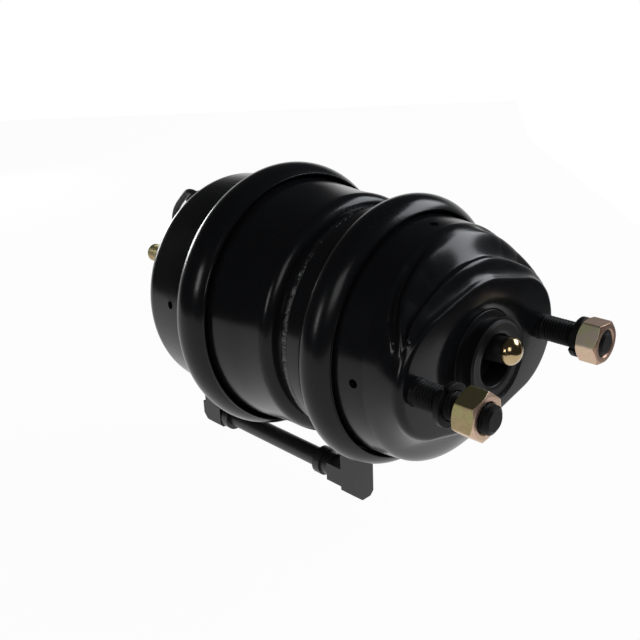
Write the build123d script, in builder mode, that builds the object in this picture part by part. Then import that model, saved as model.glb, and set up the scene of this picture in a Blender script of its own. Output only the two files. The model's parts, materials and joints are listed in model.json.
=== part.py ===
from build123d import *
import math
import os

# Double-diaphragm spring brake chamber for an air disc brake, all sizes in millimetres.
# Origin: centre of the mounting face. +X: the way the pushrod travels. Y: along the two studs.
# The vent pipe hangs below, along -Z. Profiles on Plane.XY hold x along the axis and y as radius.

# mounting interface
stud_spacing = 120.65
stud_r = 8.0
thread_r = 7.7
knurl_r = 8.2
stud_head_r = 11.0
stud_head_flat = 8.2
stud_head_height = 6.0
stud_plain_end = 19.0
near_stud_reach = 49.5
far_stud_reach = 43.6
nut_across_flats = 24.0
nut_height = 13.6
nut_edge = 1.0
nut_face_share = 0.96
near_nut_x = 31.1
far_nut_x = 29.1
near_nut_turn = 82.0
far_nut_turn = 58.5
washer_r = 12.4
washer_bore_r = 8.3
washer_height = 4.0
washer_slit = 2.0
near_washer_x = 20.0

# pressed sheets, diaphragms and running fits
sheet = 3.0
spring_sheet = 3.5
pad_sheet = 3.5
diaphragm_sheet = 3.0
body_gap = 0.3
running_clearance = 0.05

# mounting pad: the outline that wraps a middle circle and two end circles
pad_mid_r = 47.0
pad_end_r = 38.0
pad_reach = 36.0
pad_blend = 22.0
pad_valley = 1.7
pad_rim_r = 4.4
bowl_depth = 28.0
bowl_r = 72.6
stud_plate_thickness = 5.0

# face seal and boot
seal_r = 27.5
seal_bulge_r = 29.0
seal_lip_r = 25.8
seal_groove_r = 24.5
seal_inner_lip_r = 23.2
seal_recess_r = 28.0
seal_recess_depth = 3.0
seal_hole_r = 16.0
seal_height = 9.5
boot_r = 24.0
boot_root_r = 17.5
boot_sheet = 1.6
boot_folds = 4
boot_end_x = -38.0

# clamp joints: middle plane, flange radius, wall radius and the band's section
service_joint_x = -59.5
service_flange_r = 81.2
service_wall_r = 75.4
service_band_r = 85.2
service_band_half = 12.1
service_band_lip_r = 76.6
service_band_sheet = 2.6
parking_joint_x = -163.5
parking_flange_r = 87.8
parking_wall_r = 81.4
parking_flare_r = 84.0
parking_band_rise = 4.3
parking_band_half = 14.5
parking_band_lip_r = 82.3
parking_band_front_r = 85.0
parking_band_sheet = 3.0

# flange case
partition_x = -97.0
case_r = 79.4
case_taper_x = -119.0
case_shoulder = 8.0
strip_end_x = -87.0
strip_r = 72.0
service_cup_r = 73.8
weld_height = 1.6

# spring housing
rear_x = -270.0
rear_knee_run = 51.5
rear_knee_r = 78.2
rear_cone_run = 12.0
rear_cone_r = 49.0
rear_end_r = 32.0
drain_r = 2.75
service_drain_x = -34.0
parking_drain_x = -193.0

# pushrod and its plate
ball_x = -80.0
ball_r = 8.5
rod_r = 7.5
rod_neck_r = 5.5
rod_reach = 97.3
tip_reach = 102.6
tip_r = 7.75
tip_edge = 2.2
rod_tilt = 4.76
push_plate_r = 48.0
push_plate_sheet = 4.0
socket_r = 15.0
socket_wrap = 4.0

# parking actuator
adapter_r = 14.0
adapter_bore_r = 9.6
adapter_plate_r = 28.0
adapter_plate_thickness = 4.2
adapter_screw_r = 4.0
pressure_plate_r = 64.0
pressure_plate_sheet = 5.0
guide_r = 24.0
guide_length = 20.0
bush_wall = 3.4
bush_length = 8.0
ring_wire_r = 1.6

# springs
power_wire_r = 5.0
power_front_r = 54.0
power_rear_r = 35.0
power_turns = 4.0
return_wire_r = 2.2
return_rear_r = 41.0
return_front_r = 32.0
return_turns = 5.0

# release bolt
bolt_r = 7.0
bolt_standing = 62.0
bolt_head_r = 9.0
bolt_head_height = 6.0
release_nut_flats = 22.0
release_nut_height = 12.0
release_washer_r = 17.0
release_washer_height = 3.0

# dust plug, its strap points given as (x, z)
plug_r = 6.6
plug_cap_r = 8.2
plug_length = 10.0
strap_r = 2.7
strap_ring_run = 25.0
strap_ring_r = 11.0

# ports, vent pipe and elbows
port_thread_r = 7.25
port_thread_length = 12.0
port_passage_r = 4.5
port_boss_r = 11.0
port_standing = 15.0
service_port_x = -83.5
parking_port_x = -130.0
vent_y = -18.3
vent_drop = 13.4
vent_r = 6.7
vent_bore_r = 4.5
socket_depth = 6.0
collar_r = 9.7
elbow_half = 9.4
front_leg_x = -85.6
front_leg_half = 6.0
front_foot_drop = 16.0
front_arm_x = -105.0
front_collar_x = -119.0
rear_leg_run = 40.0
rear_block_half = 10.0
rear_foot_drop = 8.5
rear_collar_run = 18.0
spigot_r = 4.6
spigot_bore_r = 3.0
grommet_r = 7.0
leg_top_z = -75.0

# derived places
stud_y = stud_spacing / 2
nut_bore_r = thread_r + running_clearance
bead_half = diaphragm_sheet / 2
rear_hole_r = bolt_r + 0.6
service_flange_x = service_joint_x + bead_half
service_flange_front = service_flange_x + sheet
parking_flange_x = parking_joint_x - bead_half
flange_case_x = parking_joint_x + bead_half
service_cup_x = service_joint_x - bead_half
adapter_front_x = partition_x + 2 * body_gap
adapter_plate_x = adapter_front_x + adapter_plate_thickness
diaphragm_seat_x = adapter_plate_x + body_gap
push_plate_x = diaphragm_seat_x + diaphragm_sheet + body_gap
parking_seat_x = -208.0
pressure_plate_x = parking_seat_x - body_gap
pressure_hub_x = pressure_plate_x - 14.0
rear_knee_x = rear_x + rear_knee_run
rear_cone_x = rear_x + rear_cone_run
rear_leg_x = rear_x + rear_leg_run
rear_collar_x = rear_leg_x + rear_collar_run
bolt_tip_x = rear_x - bolt_standing
strap_ring_x = rear_x - strap_ring_run
parking_band_r = parking_flange_r + parking_band_rise
vent_z = -parking_band_r - vent_drop
front_foot_z = vent_z - front_foot_drop
rear_foot_z = vent_z - rear_foot_drop
release_washer_x = rear_x - release_washer_height
release_nut_x = release_washer_x - body_gap - release_nut_height
rod_way = (math.cos(math.radians(rod_tilt)), 0, math.sin(math.radians(rod_tilt)))
front_spigot_top = leg_top_z + 6.4
rear_spigot_top = leg_top_z + 12
far_washer_x = far_nut_x - body_gap - washer_height
os.makedirs("parts", exist_ok=True)


def pad_radius(turn, cut):
    """Distance from the axis to the pad's outline, inset by cut, at an angle from the stud line."""
    turn = abs(math.remainder(turn, math.pi))
    mid = pad_mid_r - cut
    tip = pad_end_r - cut
    lean = math.acos((mid - tip) / pad_reach)
    join = math.atan2(tip * math.sin(lean), pad_reach + tip * math.cos(lean))
    if turn < join:
        return pad_reach * math.cos(turn) + math.sqrt(tip**2 - (pad_reach * math.sin(turn)) ** 2)
    if turn < lean:
        return mid / math.cos(turn - lean)
    return mid


def housing_outline(depth, cut=0.0):
    """Points round the service housing at a depth behind the pad: the pad first, then a round bowl."""
    blend = min(max((bowl_depth - depth) / pad_blend, 0), 1) ** pad_valley
    flare = (service_wall_r - bowl_r) * max(depth - bowl_depth, 0) / (-service_flange_front - bowl_depth)
    outline = []
    for step in range(32):
        turn = 2 * math.pi * step / 32
        reach = (1 - blend) * (bowl_r + flare - cut) + blend * pad_radius(turn, cut)
        outline.append((reach * math.cos(turn), reach * math.sin(turn)))
    return outline


def side_plane(x, turn, reach=0.0):
    """Plane that faces away from the axis, turned about it from +Y towards +Z."""
    away = (0, math.cos(math.radians(turn)), math.sin(math.radians(turn)))
    return Plane(origin=(x, 0, 0), x_dir=(1, 0, 0), z_dir=away).offset(reach)


def dome(x, r, tip_x):
    """Round end of a rod about its axis: the arc from its edge at (x, r) to its tip."""
    rise = tip_x - x
    ball = (r**2 + rise**2) / (2 * rise)
    half_turn = math.asin(r / abs(ball)) / 2
    middle = (tip_x - ball * (1 - math.cos(half_turn)), abs(ball) * math.sin(half_turn))
    return ThreePointArc((x, r), middle, (tip_x, 0))


# ---- service housing: bowl, sculpted nose and mounting pad ----
section_depths = [(sheet / 2 - service_flange_front) * step / 13 for step in range(14)]
with BuildPart() as service_housing:
    for depth in section_depths:
        with BuildSketch(Plane.YZ.offset(-depth)):
            with BuildLine():
                Spline(*housing_outline(depth), periodic=True)
            make_face()
    loft()
    fillet(service_housing.faces().sort_by(Axis.X)[-1].edges(), pad_rim_r)
    with BuildSketch(Plane.YZ.offset(service_flange_x)):
        Circle(service_flange_r)
    extrude(amount=sheet)
    for depth in section_depths:
        with BuildSketch(Plane.YZ.offset(-depth - pad_sheet)):
            with BuildLine():
                Spline(*housing_outline(depth, sheet), periodic=True)
            make_face()
    loft(mode=Mode.SUBTRACT)
    with BuildSketch(Plane.YZ.offset(-pad_sheet)):
        Circle(seal_recess_r + sheet)
    extrude(amount=-seal_recess_depth)
    with BuildSketch(Plane.YZ):
        Circle(seal_recess_r)
    extrude(amount=-seal_recess_depth, mode=Mode.SUBTRACT)
    with BuildSketch(Plane.YZ):
        Circle(boot_r + body_gap)
        with Locations((-stud_y, 0), (stud_y, 0)):
            Circle(knurl_r)
    extrude(amount=-2 * sheet - pad_sheet, mode=Mode.SUBTRACT)
    for turn in (3, 93, 181, 273):
        with BuildSketch(side_plane(service_drain_x, turn, bowl_r - 2 * sheet)):
            Circle(drain_r)
        extrude(amount=4 * sheet, mode=Mode.SUBTRACT)
service_housing.part.label = "service_housing"
export_step(service_housing.part, "parts/service_housing.step")

# ---- stud plate behind the pad, with the two knurled studs pressed through ----
plate_back = -pad_sheet - stud_plate_thickness
with BuildPart() as stud_plate:
    with BuildSketch(Plane.YZ.offset(-pad_sheet)):
        with BuildLine():
            Spline(*housing_outline(0, sheet + 0.8), periodic=True)
        make_face()
        Circle(seal_recess_r + sheet + 1, mode=Mode.SUBTRACT)
        with Locations((-stud_y, 0), (stud_y, 0)):
            Circle(knurl_r, mode=Mode.SUBTRACT)
    extrude(amount=-stud_plate_thickness)
stud_plate.part.label = "stud_plate"
export_step(stud_plate.part, "parts/stud_plate.step")

with BuildPart() as mounting_studs:
    for side, reach in ((-1, near_stud_reach), (1, far_stud_reach)):
        with BuildSketch(Plane.YZ.offset(plate_back)):
            with Locations((side * stud_y, 0)):
                Circle(stud_head_r)
            with Locations((side * (stud_y + stud_head_flat + stud_head_r), 0)):
                Rectangle(2 * stud_head_r, 2 * stud_head_r, mode=Mode.SUBTRACT)
        extrude(amount=-stud_head_height)
        with BuildSketch(Plane.YZ.offset(plate_back)):
            with Locations((side * stud_y, 0)):
                Circle(knurl_r)
        extrude(amount=-plate_back)
        with BuildSketch(Plane.YZ):
            with Locations((side * stud_y, 0)):
                Circle(stud_r)
        extrude(amount=stud_plain_end)
        with BuildSketch(Plane.YZ.offset(stud_plain_end)):
            with Locations((side * stud_y, 0)):
                Circle(thread_r)
        extrude(amount=reach - stud_plain_end)
        chamfer(mounting_studs.edges().filter_by_position(Axis.X, reach, reach), 1.6)
mounting_studs.part.label = "mounting_studs"
export_step(mounting_studs.part, "parts/mounting_studs.step")


# ---- split lock washers and the two mounting nuts ----
with BuildPart() as lock_washers:
    for side, x in ((-1, near_washer_x), (1, far_washer_x)):
        with BuildSketch(Plane.YZ.offset(x)):
            with Locations((side * stud_y, 0)):
                Circle(washer_r)
                Circle(washer_bore_r, mode=Mode.SUBTRACT)
            with Locations((side * stud_y, washer_r)):
                Rectangle(washer_slit, 2 * washer_r - washer_slit, rotation=20, mode=Mode.SUBTRACT)
        extrude(amount=washer_height)
lock_washers.part.label = "lock_washers"
export_step(lock_washers.part, "parts/lock_washers.step")


def hex_nut(x, y, flats, height, bore_r, turn):
    """Hexagon nut along X with both faces chamfered to a circle of the flats' width."""
    corner = flats / math.sqrt(3)
    with BuildPart() as nut:
        with BuildSketch(Plane.YZ.offset(x)):
            with Locations((y, 0)):
                RegularPolygon(corner, 6, rotation=turn)
        extrude(amount=height)
        with BuildSketch(Plane.XY.offset(0)):
            with BuildLine():
                Polyline(
                    (x, y),
                    (x, y + nut_face_share * flats / 2),
                    (x + nut_edge, y + corner),
                    (x + height - nut_edge, y + corner),
                    (x + height, y + nut_face_share * flats / 2),
                    (x + height, y),
                    close=True,
                )
            make_face()
        revolve(axis=Axis((x, y, 0), (1, 0, 0)), mode=Mode.INTERSECT)
        with BuildSketch(Plane.YZ.offset(x)):
            with Locations((y, 0)):
                Circle(bore_r)
        extrude(amount=height, mode=Mode.SUBTRACT)
    return nut


near_nut = hex_nut(near_nut_x, -stud_y, nut_across_flats, nut_height, nut_bore_r, near_nut_turn)
near_nut.part.label = "near_nut"
export_step(near_nut.part, "parts/near_nut.step")

far_nut = hex_nut(far_nut_x, stud_y, nut_across_flats, nut_height, nut_bore_r, far_nut_turn)
far_nut.part.label = "far_nut"
export_step(far_nut.part, "parts/far_nut.step")

# ---- face seal in the pad's recess, and the boot behind it ----
with BuildPart() as face_seal:
    with BuildSketch(Plane.XY):
        with BuildLine():
            Polyline(
                (-seal_recess_depth, seal_hole_r),
                (-seal_recess_depth, seal_r),
                (seal_recess_depth, seal_r),
                (seal_height - seal_recess_depth, seal_bulge_r),
                (seal_height, seal_lip_r),
                (seal_height - 1, seal_groove_r),
                (seal_height, seal_inner_lip_r),
                (seal_height - 1, seal_hole_r),
                close=True,
            )
        make_face()
    revolve(axis=Axis.X)
face_seal.part.label = "face_seal"
export_step(face_seal.part, "parts/face_seal.step")

fold_length = (boot_end_x + boot_sheet + seal_recess_depth) / boot_folds
boot_points = [(-seal_recess_depth, boot_root_r)]
for fold in range(boot_folds):
    fold_x = -seal_recess_depth + fold * fold_length
    boot_points.append((fold_x + fold_length / 2, boot_r - boot_sheet / 2))
    boot_points.append((fold_x + fold_length, boot_root_r))
rod_at_boot = (boot_end_x - ball_x) * math.tan(math.radians(rod_tilt))
with BuildPart() as boot:
    with BuildSketch(Plane.XY):
        with BuildLine():
            outline = Polyline(*boot_points)
            offset(outline, amount=boot_sheet / 2, kind=Kind.INTERSECTION)
        make_face()
        with Locations((boot_end_x + boot_sheet / 2, boot_root_r / 2)):
            Rectangle(boot_sheet, boot_root_r)
        with Locations((0, boot_r / 2)):
            Rectangle(2 * seal_recess_depth, boot_r, mode=Mode.SUBTRACT)
    revolve(axis=Axis.X)
    with BuildSketch(Plane(origin=(ball_x, 0, 0), x_dir=(0, 1, 0), z_dir=rod_way)):
        Circle(rod_r + body_gap)
    extrude(amount=tip_reach, mode=Mode.SUBTRACT)
boot.part.label = "boot"
export_step(boot.part, "parts/boot.step")


def cup(points, radii, thickness, side):
    """Pressed sheet about the X axis: an outside line of (x, r) points with rounded corners."""
    with BuildPart() as shell:
        with BuildSketch(Plane.XY):
            with BuildLine():
                line = FilletPolyline(*points, radius=radii)
                offset(line, amount=thickness, side=side)
            make_face()
        revolve(axis=Axis.X)
    return shell


def clamp_band(middle, crest_r, half, rear_lip_r, front_lip_r, thickness):
    """Crimped clamp ring about the X axis, two arcs of sheet that close over the flanges."""
    with BuildPart() as band:
        with BuildSketch(Plane.XY):
            with BuildLine():
                rear = TangentArc((middle, crest_r), (middle - half, rear_lip_r), tangent=(-1, 0))
                front = TangentArc((middle, crest_r), (middle + half, front_lip_r), tangent=(1, 0))
                offset(rear + front, amount=thickness, side=Side.LEFT)
            make_face()
        revolve(axis=Axis.X)
    return band


# ---- service clamp band and diaphragm ----
service_band = clamp_band(
    service_joint_x,
    service_band_r,
    service_band_half,
    service_band_lip_r,
    service_band_lip_r,
    service_band_sheet,
)
service_band.part.label = "service_band"
export_step(service_band.part, "parts/service_band.step")

service_diaphragm = cup(
    [
        (service_flange_x - diaphragm_sheet, service_flange_r - 0.5),
        (service_flange_x - diaphragm_sheet, service_wall_r - sheet - 1),
        (diaphragm_seat_x, strip_r - sheet - 1),
        (diaphragm_seat_x, 0),
    ],
    [4, 9],
    diaphragm_sheet,
    Side.LEFT,
)
service_diaphragm.part.label = "service_diaphragm"
export_step(service_diaphragm.part, "parts/service_diaphragm.step")

# ---- flange case: service cup and spring cup welded back to back ----
with BuildPart() as service_cup:
    with BuildSketch(Plane.XY):
        with BuildLine():
            line = FilletPolyline(
                (service_cup_x - sheet, service_flange_r),
                (service_cup_x - sheet, service_wall_r),
                (strip_end_x, service_cup_r),
                (strip_end_x - 0.8, strip_r),
                (partition_x, strip_r),
                radius=[1.2, 1.0, 0.5],
            )
            offset(line, amount=sheet, side=Side.LEFT)
        make_face()
    revolve(axis=Axis.X)
    with BuildSketch(side_plane(service_port_x, 0)):
        Circle(port_boss_r)
    extrude(amount=service_flange_r, mode=Mode.SUBTRACT)
    with BuildSketch(Plane.XY.offset(-service_cup_r)):
        with Locations((front_leg_x, vent_y)):
            Circle(grommet_r)
    extrude(amount=sheet * 3, both=True, mode=Mode.SUBTRACT)
service_cup.part.label = "service_cup"
export_step(service_cup.part, "parts/service_cup.step")

with BuildPart() as weld_bead:
    with BuildSketch(Plane.XY):
        with BuildLine():
            ThreePointArc(
                (partition_x, strip_r),
                ((partition_x + strip_end_x) / 2, strip_r + weld_height),
                (strip_end_x - 1.2, strip_r),
            )
            Line((strip_end_x - 1.2, strip_r), (partition_x, strip_r))
        make_face()
    revolve(axis=Axis.X)
    with BuildSketch(side_plane(service_port_x, 0)):
        Circle(port_boss_r + body_gap)
    extrude(amount=service_flange_r, mode=Mode.SUBTRACT)
    with BuildSketch(Plane.XY.offset(-service_cup_r)):
        with Locations((front_leg_x, vent_y)):
            Circle(grommet_r + body_gap)
    extrude(amount=sheet * 3, both=True, mode=Mode.SUBTRACT)
weld_bead.part.label = "weld_bead"
export_step(weld_bead.part, "parts/weld_bead.step")

with BuildPart() as spring_cup:
    with BuildSketch(Plane.XY):
        with BuildLine():
            line = FilletPolyline(
                (flange_case_x + sheet, parking_flange_r),
                (flange_case_x + sheet, parking_flare_r),
                (case_taper_x, case_r),
                (partition_x, case_r),
                (partition_x, guide_r),
                radius=[1.5, 150, case_shoulder],
            )
            offset(line, amount=sheet, side=Side.RIGHT)
        make_face()
    revolve(axis=Axis.X)
    with BuildSketch(side_plane(parking_port_x, 0)):
        Circle(port_boss_r)
    extrude(amount=parking_flange_r, mode=Mode.SUBTRACT)
spring_cup.part.label = "spring_cup"
export_step(spring_cup.part, "parts/spring_cup.step")


def port_boss(x, wall_r):
    """Threaded air port on the side away from the vent pipe, its foot rounded to the case inside."""
    face = wall_r + port_standing
    with BuildPart() as boss:
        with BuildSketch(side_plane(x, 0)):
            Circle(port_boss_r)
        extrude(amount=face)
        chamfer(boss.faces().sort_by(Axis.Y)[-1].edges(), 1)
        with BuildSketch(side_plane(x, 0, face)):
            Circle(port_thread_r)
        extrude(amount=-port_thread_length, mode=Mode.SUBTRACT)
        with BuildSketch(side_plane(x, 0, face)):
            Circle(port_passage_r)
        extrude(amount=-face, mode=Mode.SUBTRACT)
        with BuildSketch(Plane.YZ.offset(x - 2 * port_boss_r)):
            Circle(wall_r - sheet)
        extrude(amount=4 * port_boss_r, mode=Mode.SUBTRACT)
    return boss


service_port = port_boss(service_port_x, service_cup_r)
service_port.part.label = "service_port"
export_step(service_port.part, "parts/service_port.step")

parking_port = port_boss(parking_port_x, case_r)
parking_port.part.label = "parking_port"
export_step(parking_port.part, "parts/parking_port.step")

# ---- rod guide in the partition, its bush and its two sealing rings ----
guide_rear_x = partition_x - guide_length
guide_lip_r = adapter_r + body_gap
bush_x = partition_x - (guide_length + bush_length) / 2
ring_r = adapter_r + running_clearance + ring_wire_r
ring_places = [(partition_x + bush_x + bush_length) / 2, (guide_rear_x + bush_x) / 2]
with BuildPart() as rod_guide:
    with BuildSketch(Plane.XY):
        with BuildLine():
            Polyline(
                (partition_x, guide_lip_r),
                (partition_x, guide_r),
                (partition_x - sheet, guide_r),
                (partition_x - sheet, guide_r + sheet),
                (partition_x - 2 * sheet, guide_r + sheet),
                (guide_rear_x, guide_r - 1),
                (guide_rear_x, guide_lip_r),
                close=True,
            )
        make_face()
        with Locations((bush_x + bush_length / 2, adapter_r + bush_wall / 2)):
            Rectangle(bush_length, bush_wall, mode=Mode.SUBTRACT)
        with Locations(*[(x, ring_r) for x in ring_places]):
            Rectangle(2.4 * ring_wire_r, 2.1 * ring_wire_r, mode=Mode.SUBTRACT)
    revolve(axis=Axis.X)
rod_guide.part.label = "rod_guide"
export_step(rod_guide.part, "parts/rod_guide.step")

with BuildPart() as guide_bush:
    with BuildSketch(Plane.YZ.offset(bush_x)):
        Circle(adapter_r + bush_wall)
        Circle(adapter_r + running_clearance, mode=Mode.SUBTRACT)
    extrude(amount=bush_length)
guide_bush.part.label = "guide_bush"
export_step(guide_bush.part, "parts/guide_bush.step")

with BuildPart() as rod_seals:
    with BuildSketch(Plane.XY):
        with Locations(*[(x, ring_r) for x in ring_places]):
            RegularPolygon(ring_wire_r, 6)
    revolve(axis=Axis.X)
rod_seals.part.label = "rod_seals"
export_step(rod_seals.part, "parts/rod_seals.step")

# ---- parking diaphragm, clamp band and spring housing ----
parking_diaphragm = cup(
    [
        (parking_flange_x, parking_flange_r - 0.5),
        (parking_flange_x, parking_wall_r - spring_sheet - 1),
        (parking_seat_x, rear_knee_r - spring_sheet - 1),
        (parking_seat_x, adapter_r + body_gap),
    ],
    [4, 10],
    diaphragm_sheet,
    Side.LEFT,
)
parking_diaphragm.part.label = "parking_diaphragm"
export_step(parking_diaphragm.part, "parts/parking_diaphragm.step")

spring_band = clamp_band(
    parking_joint_x,
    parking_band_r,
    parking_band_half,
    parking_band_lip_r,
    parking_band_front_r,
    parking_band_sheet,
)
spring_band.part.label = "spring_band"
export_step(spring_band.part, "parts/spring_band.step")

with BuildPart() as spring_housing:
    with BuildSketch(Plane.XY):
        with BuildLine():
            line = FilletPolyline(
                (parking_flange_x - spring_sheet, parking_flange_r),
                (parking_flange_x - spring_sheet, parking_wall_r),
                (rear_knee_x, rear_knee_r),
                (rear_cone_x, rear_cone_r),
                (rear_x, rear_end_r),
                (rear_x, rear_hole_r),
                radius=[1.5, 12, 30, 9],
            )
            offset(line, amount=spring_sheet, side=Side.LEFT)
        make_face()
    revolve(axis=Axis.X)
    for turn in (4, 94, 174, 274):
        with BuildSketch(side_plane(parking_drain_x, turn, parking_wall_r - 3 * spring_sheet)):
            Circle(drain_r)
        extrude(amount=5 * spring_sheet, mode=Mode.SUBTRACT)
    with BuildSketch(Plane.XY.offset(-rear_knee_r)):
        with Locations((rear_leg_x, vent_y)):
            Circle(grommet_r)
    extrude(amount=6 * spring_sheet, both=True, mode=Mode.SUBTRACT)
spring_housing.part.label = "spring_housing"
export_step(spring_housing.part, "parts/spring_housing.step")

# ---- parking actuator: adapter rod, plates and release bolt ----
adapter_rear_x = pressure_hub_x + push_plate_sheet
with BuildPart() as adapter_rod:
    with BuildSketch(Plane.XY):
        with BuildLine():
            Polyline(
                (adapter_front_x, adapter_screw_r),
                (adapter_front_x, adapter_r - 1),
                (adapter_front_x - 1, adapter_r),
                (adapter_rear_x, adapter_r),
                (adapter_rear_x, adapter_bore_r),
                (partition_x - 2 * adapter_r, adapter_bore_r),
                (partition_x - 2 * adapter_r, adapter_screw_r),
                close=True,
            )
        make_face()
    revolve(axis=Axis.X)
adapter_rod.part.label = "adapter_rod"
export_step(adapter_rod.part, "parts/adapter_rod.step")

with BuildPart() as adapter_plate:
    with BuildSketch(Plane.XY):
        with BuildLine():
            Polyline(
                (adapter_front_x, adapter_screw_r),
                (adapter_front_x, adapter_plate_r - 1),
                (adapter_front_x + 1, adapter_plate_r),
                (adapter_plate_x - 1, adapter_plate_r),
                (adapter_plate_x, adapter_plate_r - 1),
                (adapter_plate_x, 2 * adapter_screw_r),
                close=True,
            )
        make_face()
    revolve(axis=Axis.X)
adapter_plate.part.label = "adapter_plate"
export_step(adapter_plate.part, "parts/adapter_plate.step")

with BuildPart() as adapter_screw:
    with BuildSketch(Plane.XY):
        with BuildLine():
            Polyline(
                (adapter_plate_x, 0),
                (adapter_plate_x, 2 * adapter_screw_r),
                (adapter_front_x, adapter_screw_r),
                (partition_x - 2 * adapter_r + sheet, adapter_screw_r),
                (partition_x - 2 * adapter_r + sheet, 0),
                close=True,
            )
        make_face()
    revolve(axis=Axis.X)
    with BuildSketch(Plane.YZ.offset(adapter_plate_x)):
        RegularPolygon(adapter_screw_r, 6)
    extrude(amount=-3, mode=Mode.SUBTRACT)
adapter_screw.part.label = "adapter_screw"
export_step(adapter_screw.part, "parts/adapter_screw.step")

with BuildPart() as pressure_plate:
    with BuildSketch(Plane.XY):
        with BuildLine():
            Polyline(
                (pressure_plate_x, adapter_r),
                (pressure_plate_x, pressure_plate_r - 5),
                (pressure_plate_x - 4, pressure_plate_r),
                (pressure_plate_x - 8, pressure_plate_r),
                (pressure_plate_x - 8, pressure_plate_r - 3),
                (pressure_plate_x - pressure_plate_sheet, pressure_plate_r - 7),
                (pressure_plate_x - pressure_plate_sheet, adapter_r + 9),
                (pressure_hub_x, adapter_r + 5),
                (pressure_hub_x, bolt_r),
                (adapter_rear_x, bolt_r),
                (adapter_rear_x, adapter_r),
                close=True,
            )
        make_face()
    revolve(axis=Axis.X)
pressure_plate.part.label = "pressure_plate"
export_step(pressure_plate.part, "parts/pressure_plate.step")

with BuildPart() as release_bolt:
    with BuildSketch(Plane.XY):
        with BuildLine():
            Polyline(
                (adapter_rear_x + bolt_head_height, 0),
                (adapter_rear_x + bolt_head_height, bolt_head_r),
                (adapter_rear_x, bolt_head_r),
                (adapter_rear_x, bolt_r),
                (bolt_tip_x + 3, bolt_r),
            )
            dome(bolt_tip_x + 3, bolt_r, bolt_tip_x)
            Line((bolt_tip_x, 0), (adapter_rear_x + bolt_head_height, 0))
        make_face()
    revolve(axis=Axis.X)
    for side in (-1, 1):
        with BuildSketch(Plane.YZ.offset(adapter_rear_x)):
            with Locations((side * bolt_head_r, 0)):
                Rectangle(2 * (bolt_head_r - bolt_r), 2 * bolt_head_r)
        extrude(amount=bolt_head_height, mode=Mode.SUBTRACT)
release_bolt.part.label = "release_bolt"
export_step(release_bolt.part, "parts/release_bolt.step")

release_nut = hex_nut(
    release_nut_x, 0, release_nut_flats, release_nut_height, bolt_r + running_clearance, 8
)
release_nut.part.label = "release_nut"
export_step(release_nut.part, "parts/release_nut.step")

with BuildPart() as release_washer:
    with BuildSketch(Plane.YZ.offset(rear_x)):
        Circle(release_washer_r)
        Circle(bolt_r + body_gap, mode=Mode.SUBTRACT)
    extrude(amount=-release_washer_height)
    chamfer(release_washer.faces().sort_by(Axis.X)[0].edges().sort_by(SortBy.LENGTH)[-1], 0.8)
release_washer.part.label = "release_washer"
export_step(release_washer.part, "parts/release_washer.step")


def coil_spring(rear_x, front_x, rear_r, front_r, wire_r, turns):
    """Cone-shaped round-wire spring about the X axis, its wire ends half a wire inside the ends."""
    height = front_x - rear_x - 2 * wire_r
    lean = math.degrees(math.atan((front_r - rear_r) / height))
    start = (rear_x + wire_r, 0, 0)
    with BuildPart() as spring:
        with BuildLine() as path:
            Helix(height / turns, height, rear_r, start, direction=(1, 0, 0), cone_angle=lean)
        with BuildSketch(Plane(origin=path.line @ 0, z_dir=path.line % 0)):
            RegularPolygon(wire_r, 6)
        sweep(is_frenet=True)
    return spring


power_front_x = pressure_plate_x - pressure_plate_sheet - body_gap
power_spring = coil_spring(
    rear_x + 9, power_front_x, power_rear_r, power_front_r, power_wire_r, power_turns
)
power_spring.part.label = "power_spring"
export_step(power_spring.part, "parts/power_spring.step")

# ---- pushrod plate with its socket, pushrod on its ball, brass tip ----
socket_front_x = ball_x + socket_wrap
with BuildPart() as pushrod_plate:
    with BuildSketch(Plane.XY):
        with BuildLine():
            Polyline(
                (push_plate_x, 0),
                (push_plate_x, push_plate_r - 4),
                (push_plate_x + 3, push_plate_r),
                (push_plate_x + 7, push_plate_r),
                (push_plate_x + 7, push_plate_r - 2.5),
                (push_plate_x + push_plate_sheet, push_plate_r - 6),
                (push_plate_x + push_plate_sheet, socket_r + 2),
                (push_plate_x + push_plate_sheet + 2, socket_r),
                (socket_front_x - 1, socket_r),
                (socket_front_x, socket_r - 1),
                (socket_front_x, 0),
                close=True,
            )
        make_face()
    revolve(axis=Axis.X)
    with BuildSketch(Plane.XY):
        with Locations((ball_x, 0)):
            Circle(ball_r + body_gap)
            Rectangle(4 * ball_r, 2 * ball_r, align=(Align.CENTER, Align.MAX), mode=Mode.SUBTRACT)
    revolve(axis=Axis.X, mode=Mode.SUBTRACT)
pushrod_plate.part.label = "pushrod_plate"
export_step(pushrod_plate.part, "parts/pushrod_plate.step")

rod_plane = Plane(
    origin=(ball_x, 0, 0), x_dir=rod_way, z_dir=(0, -1, 0)
)
neck_start = math.sqrt(ball_r**2 - rod_neck_r**2)
with BuildPart() as pushrod:
    with BuildSketch(rod_plane):
        with BuildLine():
            ThreePointArc((-ball_r, 0), (0, ball_r), (neck_start, rod_neck_r))
            Polyline(
                (neck_start, rod_neck_r),
                (ball_r + 5, rod_neck_r),
                (ball_r + 7, rod_r),
                (rod_reach, rod_r),
                (rod_reach, 0),
                (-ball_r, 0),
            )
        make_face()
    revolve(axis=Axis((ball_x, 0, 0), rod_way))
pushrod.part.label = "pushrod"
export_step(pushrod.part, "parts/pushrod.step")

with BuildPart() as pushrod_tip:
    with BuildSketch(rod_plane):
        with BuildLine():
            Polyline((rod_reach, 0), (rod_reach, tip_r), (rod_reach + tip_edge, tip_r))
            dome(rod_reach + tip_edge, tip_r, tip_reach)
            Line((tip_reach, 0), (rod_reach, 0))
        make_face()
    revolve(axis=Axis((ball_x, 0, 0), rod_way))
pushrod_tip.part.label = "pushrod_tip"
export_step(pushrod_tip.part, "parts/pushrod_tip.step")

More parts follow.
